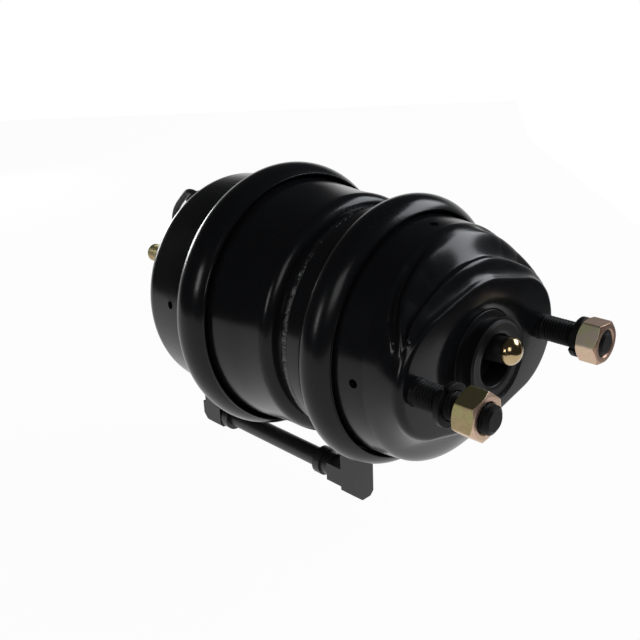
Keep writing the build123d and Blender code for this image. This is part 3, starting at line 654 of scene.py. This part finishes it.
def buildWasher(place):
    # one turn of square wire with its cut ends a little apart along the stud
    look = washerLook
    low, high, edge = look["inner"], look["outer"], look["round"]
    half = look["thick"] / 2
    section = [
        (-half, low + edge), (-half, high - edge), (-half + edge, high), (half - edge, high),
        (half, high - edge), (half, low + edge), (half - edge, low), (-half + edge, low),
    ]
    points = []
    count = len(section)
    for step in range(look["segments"] + 1):
        share = step / look["segments"]
        turn = place["turn"] + look["gap"] / 2 + share * (2 * math.pi - look["gap"])
        middle = place["x"] + place["rise"] * (share - 0.5)
        for along, reach in section:
            points.append((middle + along, place["y"] + reach * math.cos(turn), reach * math.sin(turn)))
    faces = lineFaces(look["segments"] + 1, count, around=False)
    faces.append(tuple(range(count)))
    faces.append(tuple(range(len(points) - count, len(points)))[::-1])
    return points, faces


def buildWashers():
    shapes = joinMeshes(buildWasher(washerLook["near"]), buildWasher(washerLook["far"]))
    buildPiece("splitWashers", *shapes, studBlack, "housing", ["lock_washers"], "black_steel")


buildStuds()
buildNut("nearNutPiece", nearNutLook, "near_nut")
buildNut("farNutPiece", farNutLook, "far_nut")
buildNut("releaseNutPiece", releaseNutLook, "release_nut")
buildWashers()
print("studs, nuts and washers done")


releaseBoltLook = {
    "crest": 7.0 * mm,
    "root": 5.9 * mm,
    "pitch": 2.5 * mm,
    "headFront": -212.3 * mm,
    "headBack": -218.3 * mm,
    "headR": 9 * mm,
    "threadStart": -327.5 * mm,
    "threadEnd": -222 * mm,
    "tip": -332 * mm,
    "dome": 3 * mm,
    "segments": 40,
    "slices": 8,
}


def buildReleaseBolt():
    look = releaseBoltLook
    dome, tip = look["dome"], look["tip"]
    ball = (look["root"] ** 2 + dome**2) / (2 * dome)
    stations = [tip + 0.02 * mm]
    stations += [tip + dome * (1 - math.cos(index * math.pi / 12)) for index in range(1, 7)]
    stations += threadStations(look, look["threadEnd"])
    stations += [look["headBack"], look["headBack"] + 0.01 * mm, look["headFront"]]

    def radiusAt(x, turn):
        if x > look["headBack"]:
            return look["headR"]
        if x <= tip + dome:
            return math.sqrt(max(ball**2 - (ball - (x - tip)) ** 2, 0))
        return threadRadius(look, x, turn, look["threadStart"], look["threadEnd"])

    shape = ringGrid(stations, look["segments"], radiusAt, 0.0)
    buildPiece("threadedReleaseBolt", *shape, boltZinc, "adapter", ["release_bolt"], "yellow_zinc")


buildReleaseBolt()
print("release bolt done")


brassLook = {
    "ball": (-80 * mm, 0, 0),
    "tilt": math.radians(4.76),
    "start": 95.7,
    "edge": 97.5,
    "r": 8.1,
    "rise": 6.4,
    "bore": 7.55,
    "chamfer": 0.4,
    "arcSteps": 16,
    "segments": 72,
}


def buildBrassNose():
    look = brassLook
    start, edge, chamfer = look["start"], look["edge"], look["chamfer"]
    profile = [(edge - chamfer, look["bore"]), (start, look["bore"]), (start, look["r"] - chamfer)]
    profile.append((start + chamfer, look["r"]))
    for step in range(look["arcSteps"] + 1):
        turn = math.pi / 2 * step / look["arcSteps"]
        profile.append((edge + look["rise"] * math.sin(turn), max(look["r"] * math.cos(turn), 0.0)))
    profile.append((edge - chamfer, 0.0))
    points, faces = spinProfile(profile, look["segments"])
    # the rod stands on its ball, tilted up
    lean = Matrix.Rotation(-look["tilt"], 3, "Y")
    placed = [tuple(lean @ Vector(point) + Vector(look["ball"])) for point in points]
    buildPiece("brassNose", placed, faces, turnedBrass, "pushrod", ["pushrod_tip"], "brass")


buildBrassNose()
print("brass nose done")


sealLook = {
    "profile": [
        (-3, 15.4), (-3, 27.5), (-0.2, 27.5), (0.1, 27.2), (0.2, 23.6), (0.5, 23.0), (2.5, 22.9),
        (4.5, 23.4), (7.0, 24.7), (8.6, 25.7), (9.1, 26.0), (9.5, 25.95), (9.6, 25.6), (9.3, 25.2),
        (8.75, 24.9), (8.55, 24.5), (8.75, 24.1), (9.3, 23.7), (9.5, 23.3), (9.4, 22.9), (9.05, 22.5),
        (8.95, 21.5), (8.9, 18.0), (8.75, 16.2), (8.3, 15.7), (7.4, 15.5), (6.0, 15.5),
    ],
    "segments": 160,
}
bootLook = {
    "folds": 4,
    "foldSteps": 12,
    "crest": 23.0 * mm,
    "root": 17.2 * mm,
    "sheet": 1.5 * mm,
    "start": -3 * mm,
    "end": -38 * mm,
    "rodHole": 8.1 * mm,
    "lift": 3.5 * mm,
    "segments": 96,
}


def buildSeal():
    shape = spinProfile(sealLook["profile"], sealLook["segments"])
    buildPiece("ribbedFaceSeal", *shape, sealRubber, "housing", ["face_seal"], "rubber", sharp=40)


def buildBoot():
    look = bootLook
    sheet, end = look["sheet"], look["end"]
    steps = look["folds"] * look["foldSteps"]
    outer = []
    for index in range(steps + 1):
        share = index / steps
        swing = 0.5 - 0.5 * math.cos(2 * math.pi * look["folds"] * share)
        reach = look["root"] + (look["crest"] - look["root"]) * swing
        outer.append((look["start"] + (end + sheet - look["start"]) * share, reach))
    outer.append((end, look["root"] - 1.5 * mm))
    outer.append((end, look["rodHole"]))
    inner = [(x + (sheet if x < end + 2 * mm else 0), reach - sheet) for x, reach in outer[:-2]]
    inner.append((end + sheet, look["rodHole"]))
    points, faces = spinProfile(outer + inner[::-1], look["segments"], scale=1)
    # its small end follows the raised rod
    span = end - look["start"]
    raised = []
    for x, y, z in points:
        raised.append((x, y, z + look["lift"] * min(max((x - look["start"]) / span, 0), 1)))
    buildPiece("foldedBoot", raised, faces, blackRubber, "housing", ["boot"], "rubber", sharp=50)


buildSeal()
buildBoot()
print("seal and boot done")


plugLook = {
    "foot": (-258.0, 49.0),
    "lean": math.atan2(29.2, 39.5),
    "profile": [
        (0.0, 0.1), (0.0, 6.3), (0.4, 6.6), (6.2, 6.6), (6.6, 6.8), (7.0, 7.9),
        (7.5, 8.2), (9.3, 8.2), (9.9, 7.6), (10.1, 6.0), (9.7, 5.2), (9.7, 0.1),
    ],
    "strap": [
        (-262.6, 57.0), (-267.7, 58.2), (-272.6, 57.9), (-276.0, 55.8), (-280.2, 52.2), (-285.4, 47.6),
        (-290.2, 42.0), (-293.2, 35.0), (-294.6, 25.0), (-295.0, 14.0), (-295.0, 10.2),
    ],
    "strapR": 2.65 * mm,
    "strapRoot": 0.16,
    "strapFlat": 0.88,
    "ringX": -295 * mm,
    "ringInner": 7.6 * mm,
    "ringOuter": 11 * mm,
    "ringHalf": 2.4 * mm,
    "ringEdge": 0.7 * mm,
    "segments": 48,
}


def buildPlugBody():
    # the plug's outline is turned about its own line, which leans out of the housing's cone
    look = plugLook
    wayX, wayZ = -math.sin(look["lean"]), math.cos(look["lean"])
    segments, count = look["segments"], len(look["profile"])
    points = []
    for along, across, side in spinProfile(look["profile"], segments, scale=1)[0]:
        x = look["foot"][0] + along * wayX + across * wayZ
        z = look["foot"][1] + along * wayZ - across * wayX
        points.append((x * mm, side * mm, z * mm))
    faces = lineFaces(segments, count, closed=False)
    faces.append(tuple(step * count for step in range(segments - 1, -1, -1)))
    faces.append(tuple(step * count + count - 1 for step in range(segments)))
    return points, faces


def buildDustPlug():
    look = plugLook

    def strapWidth(share):
        return look["strapR"] * (1 + look["strapRoot"] * (1 - share) ** 8)

    line = smoothLine([(x * mm, 0, z * mm) for x, z in look["strap"]])
    strap = tubeAlong(line, strapWidth, 20, look["strapFlat"])
    half, edge = look["ringHalf"], look["ringEdge"]
    inner, outer, x = look["ringInner"], look["ringOuter"], look["ringX"]
    section = [
        (x - half, inner + edge), (x - half, outer - 2 * edge), (x - half + edge, outer - edge / 2),
        (x, outer), (x + half - edge, outer - edge / 2), (x + half, outer - 2 * edge),
        (x + half, inner + edge), (x + half - edge, inner), (x - half + edge, inner),
    ]
    shape = joinMeshes(buildPlugBody(), strap, spinProfile(section, 64, scale=1))
    buildPiece("strappedDustPlug", *shape, blackRubber, "housing", ["dust_plug"], "rubber", sharp=45)


buildDustPlug()
print("dust plug done")


weldShape = {
    "rear": -93.6,
    "front": -87.6,
    "r": 71.7,
    "depth": 0.8,
    "height": 1.5,
    "ripples": 250,
    "wander": 0.5,
    "swell": {"crescent": 0.25, "rough": 0.55, "lumps": 0.5, "start": -0.15},
    "calmBelow": -0.25,
    "segments": 900,
    "rows": 15,
}


def weldLine(turn):
    # the bead's outline at a turn: it wanders, ripples and lumps, but lies calm low on the near side
    look, swell = weldShape, weldShape["swell"]
    rows = look["rows"] - 1
    wander = look["wander"] * mm * noise.noise(Vector((6 * math.cos(turn), 6 * math.sin(turn), 3.0)))
    calm = min(max((math.sin(turn) - look["calmBelow"]) / 0.15, 0.15), 1)
    line = []
    for row in range(look["rows"]):
        share = row / rows
        body = math.sin(math.pi * share)
        x = (look["rear"] + (look["front"] - look["rear"]) * share) * mm
        reach = (look["r"] + look["height"] * body**0.7) * mm
        crescent = abs(math.sin(look["ripples"] / 2 * turn + 1.4 * body))
        rough = noise.noise(Vector((60 * math.cos(turn), 60 * math.sin(turn), 260 * x)))
        lumps = noise.noise(Vector((18 * math.cos(turn), 18 * math.sin(turn), 120 * x)))
        rise = swell["crescent"] * crescent + swell["start"] + swell["rough"] * rough + swell["lumps"] * lumps
        line.append((x + wander * body, reach + body * calm * rise * mm))
    low = (look["r"] - look["depth"]) * mm
    return line + [(look["front"] * mm, low), (look["rear"] * mm, low)]


def buildWeldBead():
    shape = spinLines(weldLine, weldShape["segments"])
    buildPiece("weldSeam", *shape, weldPaint, "housing", ["weld_bead"], "black_paint", sharp=70)


buildWeldBead()
print("weld bead done")


bandLook = {
    "service": {"x": -59.5, "crest": 85.2, "half": 12.1, "rearLip": 77.0, "frontLip": 77.6, "sheet": 2.2},
    "spring": {"x": -163.5, "crest": 92.1, "half": 14.5, "rearLip": 82.6, "frontLip": 86.4, "sheet": 2.4},
    "curl": 1.1,
    "curlLine": ((0.30, 0.05), (0.75, 0.10), (0.95, -0.25), (0.75, -0.75), (0.2, -1.0)),
    "arcSteps": 18,
    "segments": 256,
}


def bandSide(look, side, lip, inset):
    # an arc that starts level at the crest and ends at the lip: its radius follows from both
    drop = look["crest"] - lip
    radius = (look["half"] ** 2 + drop**2) / (2 * drop)
    sweep = math.asin(min(look["half"] / radius, 1))
    if drop > radius:
        sweep = math.pi - sweep
    line = []
    for step in range(bandLook["arcSteps"] + 1):
        turn = sweep * step / bandLook["arcSteps"]
        reach = radius - inset
        rise = look["crest"] - radius + reach * math.cos(turn)
        line.append((look["x"] + side * reach * math.sin(turn), rise))
    return line


def curledEdge(end, side):
    # the band's edge rolls inwards past the end of its arc
    curl = bandLook["curl"]
    return [(end[0] + side * across * curl, end[1] + rise * curl) for across, rise in bandLook["curlLine"]]


def buildBand(name, look, node):
    front = bandSide(look, 1, look["frontLip"], 0)
    rear = bandSide(look, -1, look["rearLip"], 0)
    frontIn = bandSide(look, 1, look["frontLip"], look["sheet"])
    rearIn = bandSide(look, -1, look["rearLip"], look["sheet"])
    profile = rear[::-1][:-1] + front + curledEdge(front[-1], 1)
    profile += frontIn[::-1] + rearIn[1:] + curledEdge(rear[-1], -1)[::-1]
    shape = spinProfile(profile, bandLook["segments"])
    buildPiece(name, *shape, blackPaint, "housing", [node], "black_paint", sharp=60)


buildBand("serviceClampBand", bandLook["service"], "service_band")
buildBand("springClampBand", bandLook["spring"], "spring_band")
print("clamp bands done")


housingLook = {
    "padMid": 47.0,
    "padEnd": 38.0,
    "padReach": 36.0,
    "bowl": 72.6,
    "wall": 75.4,
    "flange": 81.2,
    "joint": -55.0,
    "sheet": 3.0,
    "padSheet": 3.5,
    "rim": 4.4,
    "recess": 28.0,
    "recessDepth": 3.0,
    "recessEdge": 0.5,
    "hole": 24.3,
    "edge": 0.6,
    "shoulder": 28.0,
    "foot": 6.0,
    "round": 1.7,
    # the pressing's folds: turn from the top, then depths of pad rim, lower ridge, upper ridge, crease
    "folds": [
        (0, 1.4, 6.7, 19.5, 24.5), (20, 1.5, 7.2, 19.2, 24.5), (33, 1.6, 7.6, 17.8, 24.6),
        (48, 0.6, 7.2, 15.3, 22.2), (60, 0.2, 6.0, 10.2, 17.3), (68, 0.1, 3.4, 6.2, 11.0),
        (90, 0.1, 1.6, 3.2, 6.0),
    ],
    "foldsFade": (58, 74),
    "upperFade": (12, 36),
    "topFade": (-0.1, 0.45),
    "pastCrease": 3.0,
    "creaseEnd": 0.8,
    "lowRises": (-1.3, 0.5, -2.8),
    "highRises": (1.5, -2.9),
    "segments": 480,
}
drainLook = {"x": -34.0, "r": 2.75, "turns": (3, 93, 181, 273), "from": 60.0, "to": 85.0, "segments": 32}


def padRadius(turn, cut=0.0):
    # the mounting pad: a round middle and two round ends, joined by straight flanks
    look = housingLook
    turn = abs(math.remainder(turn, math.pi))
    mid, end, reach = look["padMid"] - cut, look["padEnd"] - cut, look["padReach"]
    lean = math.acos((mid - end) / reach)
    join = math.atan2(end * math.sin(lean), reach + end * math.cos(lean))
    if turn < join:
        return reach * math.cos(turn) + math.sqrt(end**2 - (reach * math.sin(turn)) ** 2)
    if turn < lean:
        return mid / math.cos(turn - lean)
    return mid


def easeBetween(low, high, place):
    share = min(max((place - low) / max(high - low, 1e-6), 0), 1)
    return share * share * (3 - 2 * share)


def foldPlaces(turn):
    # depths of the rim, both ridges and the crease at a turn, and how deep the low and high folds are
    look = housingLook
    away = abs(math.degrees(math.remainder(turn - math.pi / 2, 2 * math.pi)))
    low = 1 - easeBetween(*look["foldsFade"], away)
    high = low * easeBetween(*look["upperFade"], away)
    away = min(away, 89.9)
    for before, after in zip(look["folds"], look["folds"][1:]):
        if away < after[0]:
            share = (away - before[0]) / (after[0] - before[0])
            break
    return [near + (far - near) * share for near, far in zip(before[1:], after[1:])], low, high


def bowlRadius(depth, turn, edge, foot, cut=0.0):
    # the round bowl blends into the pad's outline between the depths edge and foot
    look = housingLook
    blend = min(max((edge - depth) / (edge - foot), 0), 1) ** look["round"]
    lean = (look["wall"] - look["bowl"]) / (-look["joint"] - look["shoulder"])
    flare = lean * max(depth - look["shoulder"], 0)
    return (1 - blend) * (look["bowl"] + flare - cut) + blend * padRadius(turn, cut)


def housingRadius(depth, turn):
    look = housingLook
    (rim, lower, upper, crease), low, high = foldPlaces(turn)
    top = easeBetween(*look["topFade"], math.sin(turn))
    edge = look["shoulder"] + (crease + look["pastCrease"] - look["shoulder"]) * top
    reach = bowlRadius(depth, turn, edge, look["foot"] * (1 - 0.6 * top))
    places = [rim, (rim + lower) / 2, lower, lower + 0.3 * (upper - lower), upper]
    places += [crease - 0.25 * (crease - upper), crease + look["creaseEnd"]]
    rises = [0.0] + [rise * low for rise in look["lowRises"]]
    rises += [rise * high for rise in look["highRises"]] + [0.0]
    for row in range(len(places) - 1):
        if places[row] <= depth < places[row + 1]:
            step = easeBetween(places[row], places[row + 1], depth)
            reach += rises[row] + (rises[row + 1] - rises[row]) * step
    if depth < look["rim"]:
        reach -= look["rim"] - math.sqrt(max(look["rim"] ** 2 - (look["rim"] - depth) ** 2, 0))
    return reach


def housingLine(turn):
    # hole, recess and pad face, the folded outside, the flange, and the plain inside back to the hole
    look = housingLook
    rim, recess, joint, edge = look["rim"], look["recess"], look["joint"], look["edge"]
    outside = [rim * (1 - math.cos(math.pi / 2 * step / 8)) for step in range(9)]
    outside += [rim + 0.5 * step for step in range(1, 49)] + [30.0 + 5 * step for step in range(1, 6)]
    inside = [52.0, 44.0, 36.0] + [28.0 - 3 * step for step in range(9)]
    back = -look["padSheet"] - look["recessDepth"]
    line = [(back, look["hole"]), (-look["recessDepth"], look["hole"])]
    corner = look["recessEdge"]
    line += [(-look["recessDepth"], recess - corner), (-look["recessDepth"] + corner, recess)]
    line += [(-edge, recess), (0, recess + edge), (0, (housingRadius(0, turn) + recess) / 2)]
    line += [(-depth, housingRadius(depth, turn)) for depth in outside]
    line += [(joint, look["flange"] - edge), (joint - edge, look["flange"])]
    behind = joint - look["sheet"]
    line += [(behind, look["flange"]), (behind, look["wall"] - look["sheet"])]
    for depth in inside:
        reach = bowlRadius(depth - look["padSheet"], turn, look["shoulder"], look["foot"], look["sheet"])
        line.append((-depth - 0.01, reach))
    line.append((back - 0.3, recess + look["sheet"]))
    return [(x * mm, reach * mm) for x, reach in line]


def drainCutter():
    # one round bar through the wall for each drain
    look = drainLook
    bars = []
    ahead = Vector((1, 0, 0))
    for turn in look["turns"]:
        away = Vector((0, math.cos(math.radians(turn)), math.sin(math.radians(turn))))
        across = away.cross(ahead)
        points = []
        for reach in (look["from"] * mm, look["to"] * mm):
            for spin in turnsAround(look["segments"]):
                place = away * reach + ahead * (look["x"] * mm)
                place += look["r"] * mm * (ahead * math.cos(spin) + across * math.sin(spin))
                points.append(tuple(place))
        bars.append((points, ringFaces(2, look["segments"])))
    points, faces = joinMeshes(*bars)
    mesh = bpy.data.meshes.new("drainCutter")
    mesh.from_pydata(points, [], faces)
    work = bmesh.new()
    work.from_mesh(mesh)
    bmesh.ops.recalc_face_normals(work, faces=work.faces)
    work.to_mesh(mesh)
    work.free()
    return addObject("drainCutter", mesh)


def buildHousing():
    shape = spinLines(housingLine, housingLook["segments"])
    piece = buildPiece(
        "pressedHousing", *shape, blackPaint, "housing", ["service_housing"], "black_paint", sharp=50
    )
    # the drains are cut once and the cut mesh is kept
    cutter = drainCutter()
    cutter.matrix_world = piece.matrix_world
    cut = piece.modifiers.new("drains", "BOOLEAN")
    cut.operation = "DIFFERENCE"
    cut.object = cutter
    cut.solver = "EXACT"
    bpy.context.view_layer.update()
    whole = piece.evaluated_get(bpy.context.evaluated_depsgraph_get())
    drilled = bpy.data.meshes.new_from_object(whole)
    piece.modifiers.clear()
    piece.data = drilled
    bpy.data.objects.remove(cutter)


buildHousing()
print("housing done")


elbowLook = {"edge": 0.7 * mm, "angle": 25, "merge": 0.00002}


def buildElbows():
    # the moulded elbows keep the shape of their CAD bodies, with their edges rounded
    look = elbowLook
    nodes = ["front_elbow", "rear_elbow"]
    shapes = []
    for node in nodes:
        source = frame["nodes"][node]
        corners = [tuple(source.matrix_world @ corner.co) for corner in source.data.vertices]
        shapes.append((corners, [tuple(face.vertices) for face in source.data.polygons]))
    piece = buildPiece(
        "mouldedElbows", *joinMeshes(*shapes), blackPlastic, "housing", nodes, "black_plastic",
        sharp=look["angle"], merge=look["merge"],
    )
    soften(piece, look["edge"], look["angle"])


buildElbows()
print("elbows done")


softLook = {
    "service": [
        (-91.9, 0.0), (-91.9, 59.9), (-90.9, 63.2), (-87.9, 66.8), (-83.9, 68.9), (-64.6, 71.0),
        (-62.3, 72.2), (-61.0, 75.0), (-61.0, 80.2), (-60.5, 80.7), (-58.5, 80.7), (-58.0, 80.2),
        (-58.0, 75.0), (-59.4, 70.8), (-64.2, 68.0), (-83.6, 65.9), (-86.6, 64.0), (-88.4, 61.6),
        (-88.9, 59.9), (-88.9, 0.0),
    ],
    "parking": [
        (-208.0, 14.3), (-208.0, 64.4), (-207.0, 68.4), (-203.4, 72.6), (-198.7, 74.4), (-168.7, 76.6),
        (-166.0, 78.0), (-165.0, 80.6), (-165.0, 86.8), (-164.5, 87.3), (-162.5, 87.3), (-162.0, 86.8),
        (-162.0, 80.6), (-163.6, 75.6), (-168.5, 73.6), (-198.5, 71.4), (-202.4, 69.6), (-204.5, 66.6),
        (-205.0, 64.4), (-205.0, 14.3),
    ],
    "ringX": (-114.0, -100.0),
    "ringR": 15.6,
    "wire": 1.45,
    "wireSteps": 12,
    "grommets": ((-230.0, -75.0, -63.3), (-85.6, -75.0, -68.9)),
    "grommetY": -18.3,
    "grommetIn": 4.7,
    "grommetOut": 6.9,
    "grommetWaist": 0.8,
    "segments": 120,
}


def buildDiaphragm(name, profile, node):
    shape = spinProfile(profile, softLook["segments"])
    buildPiece(name, *shape, blackRubber, "housing", [node], "rubber", sharp=40)


def buildRodSeals():
    look = softLook
    rings = []
    for x in look["ringX"]:
        wire = []
        for turn in turnsAround(look["wireSteps"]):
            along, out = look["wire"] * math.cos(turn), look["wire"] * math.sin(turn)
            wire.append((x + along, look["ringR"] + out))
        rings.append(spinProfile(wire, look["segments"]))
    buildPiece("roundRodSeals", *joinMeshes(*rings), blackRubber, "housing", ["rod_seals"], "rubber")


def buildGrommets():
    look = softLook
    inner, outer, waist = look["grommetIn"], look["grommetOut"], look["grommetWaist"]
    sleeves = []
    for x, low, high in look["grommets"]:
        profile = [
            (low + 0.1, inner), (low + 0.1, outer - 0.6), (low + 0.7, outer),
            ((low + high) / 2, outer - waist),
            (high - 0.7, outer), (high - 0.1, outer - 0.6), (high - 0.1, inner),
        ]
        points, faces = spinProfile(profile, 48)
        upright = [(x * mm + across, look["grommetY"] * mm + side, rise) for rise, across, side in points]
        sleeves.append((upright, faces))
    buildPiece("waistedGrommets", *joinMeshes(*sleeves), blackRubber, "housing", ["elbow_seals"], "rubber")


buildDiaphragm("rolledServiceDiaphragm", softLook["service"], "service_diaphragm")
buildDiaphragm("rolledParkingDiaphragm", softLook["parking"], "parking_diaphragm")
buildRodSeals()
buildGrommets()
print("soft parts done")


studio = {
    "floorZ": -122.2 * mm,
    "left": -1.0,
    "right": 0.33,
    "near": -0.62,
    "far": 1.3,
    "sweep": 0.35,
    "sweepTurn": math.radians(35),
    "sweepSteps": 10,
    "paper": 0.965,
    "world": 0.045,
    "wallTop": 0.16,
    "wallWay": (-0.7, 0.7, 0),
    "wallEdge": (0.5, 0.8),
}


def showWhite(nodes, links):
    # the camera's own view, and what a mirror or glass looks at
    path = nodes.new("ShaderNodeLightPath")
    mirrored = combine(
        nodes, links, "MAXIMUM", path.outputs["Is Glossy Ray"], path.outputs["Is Transmission Ray"]
    )
    return path.outputs["Is Camera Ray"], mirrored


def buildPaper():
    mat, nodes, links, shader = newMaterial("paperWhite")
    shader.inputs["Base Color"].default_value = grey(0.9)
    shader.inputs["Roughness"].default_value = 0.9
    shader.inputs["Specular IOR Level"].default_value = 0.0
    glow = addNode(nodes, "ShaderNodeEmission", Color=grey(1.0), Strength=1.0)
    mix = nodes.new("ShaderNodeMixShader")
    white = combine(nodes, links, "MAXIMUM", *showWhite(nodes, links))
    links.new(combine(nodes, links, "MULTIPLY", white, studio["paper"]), mix.inputs["Fac"])
    links.new(shader.outputs["BSDF"], mix.inputs[1])
    links.new(glow.outputs["Emission"], mix.inputs[2])
    links.new(mix.outputs["Shader"], nodes["Material Output"].inputs["Surface"])
    return mat


def buildFloor():
    # a roll of white paper, laid towards the viewer and swept up a little at its far end
    profile = [(studio["near"], 0.0), (studio["far"], 0.0)]
    for step in range(1, studio["sweepSteps"] + 1):
        turn = studio["sweepTurn"] * step / studio["sweepSteps"]
        reach = studio["sweep"]
        profile.append((studio["far"] + reach * math.sin(turn), reach * (1 - math.cos(turn))))
    points, faces = [], []
    half = math.sqrt(0.5)
    for away, rise in profile:
        for across in (studio["left"], studio["right"]):
            points.append((half * (across - away), half * (across + away), studio["floorZ"] + rise))
    for row in range(len(profile) - 1):
        faces.append((2 * row, 2 * row + 1, 2 * row + 3, 2 * row + 2))
    mesh = bpy.data.meshes.new("studioFloor")
    mesh.from_pydata(points, [], faces)
    mesh.materials.append(buildPaper())
    floor = addObject("studioFloor", mesh)


def buildWorld():
    # a dim room that looks white, with a low white wall behind the paper in what metal mirrors
    world = bpy.data.worlds.new("studioAir")
    bpy.context.scene.world = world
    world.use_nodes = True
    nodes, links = world.node_tree.nodes, world.node_tree.links
    air = nodes["Background"]
    air.inputs["Color"].default_value = (0.95, 0.97, 1.0, 1)
    air.inputs["Strength"].default_value = studio["world"]
    white = addNode(nodes, "ShaderNodeBackground", Color=grey(1.0), Strength=1.0)
    coord = nodes.new("ShaderNodeTexCoord")
    split = nodes.new("ShaderNodeSeparateXYZ")
    links.new(coord.outputs["Generated"], split.inputs["Vector"])
    low = spread(nodes, links, split.outputs["Z"], studio["wallTop"] * 2, studio["wallTop"] * 0.5)
    behind = nodes.new("ShaderNodeVectorMath")
    behind.operation = "DOT_PRODUCT"
    behind.inputs[1].default_value = studio["wallWay"]
    links.new(coord.outputs["Generated"], behind.inputs[0])
    wall = spread(nodes, links, behind.outputs["Value"], *studio["wallEdge"])
    wall = combine(nodes, links, "MULTIPLY", low, wall)
    seen, mirrored = showWhite(nodes, links)
    wall = combine(nodes, links, "MULTIPLY", mirrored, wall)
    mix = nodes.new("ShaderNodeMixShader")
    links.new(combine(nodes, links, "MAXIMUM", seen, wall), mix.inputs["Fac"])
    links.new(air.outputs["Background"], mix.inputs[1])
    links.new(white.outputs["Background"], mix.inputs[2])
    links.new(mix.outputs["Shader"], nodes["World Output"].inputs["Surface"])


lampSettings = [
    {
        "name": "overhead", "place": (0.45, 1.1, 0.8), "target": (-0.05, 0, 0), "size": (1.0, 0.6),
        "power": 13, "colour": (0.92, 0.96, 1.0),
    },
    {
        "name": "leftStrip", "place": (-1.4, 0.12, 0.12), "target": (-0.12, 0, 0), "size": (0.5, 0.25),
        "power": 3.5, "colour": (1, 1, 1),
    },
    {
        "name": "frontBox", "place": (1.1, -0.9, 0.9), "target": (-0.02, 0, 0), "size": (0.7, 0.7),
        "power": 4.5, "colour": (1, 1, 1),
    },
    {
        "name": "frontStrip", "place": (-0.1, -1.3, 0.45), "target": (-0.02, 0, 0), "size": (0.25, 0.4),
        "power": 2.2, "colour": (1, 1, 1),
    },
]


def addLamp(look):
    data = bpy.data.lights.new(look["name"], "AREA")
    data.shape = "RECTANGLE"
    data.size, data.size_y = look["size"]
    data.energy = look["power"]
    data.color = look["colour"]
    lamp = addObject(look["name"], data)
    lamp.location = look["place"]
    way = Vector(look["target"]) - Vector(look["place"])
    lamp.rotation_euler = way.to_track_quat("-Z", "Y").to_euler()


cameraLook = {
    "place": (0.2598, -0.3775, 0.2025),
    "right": (0.702, 0.711, -0.039),
    "back": (0.672, -0.644, 0.365),
    "sensor": 36,
    "focalPixels": 862,
    "imagePixels": 640,
}


def buildCamera():
    look = cameraLook
    data = bpy.data.cameras.new("viewCamera")
    data.sensor_width = look["sensor"]
    data.lens = look["sensor"] * look["focalPixels"] / look["imagePixels"]
    camera = addObject("viewCamera", data)
    right = Vector(look["right"]).normalized()
    back = Vector(look["back"]).normalized()
    up = back.cross(right).normalized()
    right = up.cross(back).normalized()
    turn = Matrix((right, up, back)).transposed()
    camera.matrix_world = Matrix.Translation(look["place"]) @ turn.to_4x4()
    bpy.context.scene.camera = camera


buildFloor()
buildWorld()
for lampLook in lampSettings:
    addLamp(lampLook)
buildCamera()
bpy.context.scene.view_settings.view_transform = "Standard"
print("stage done")
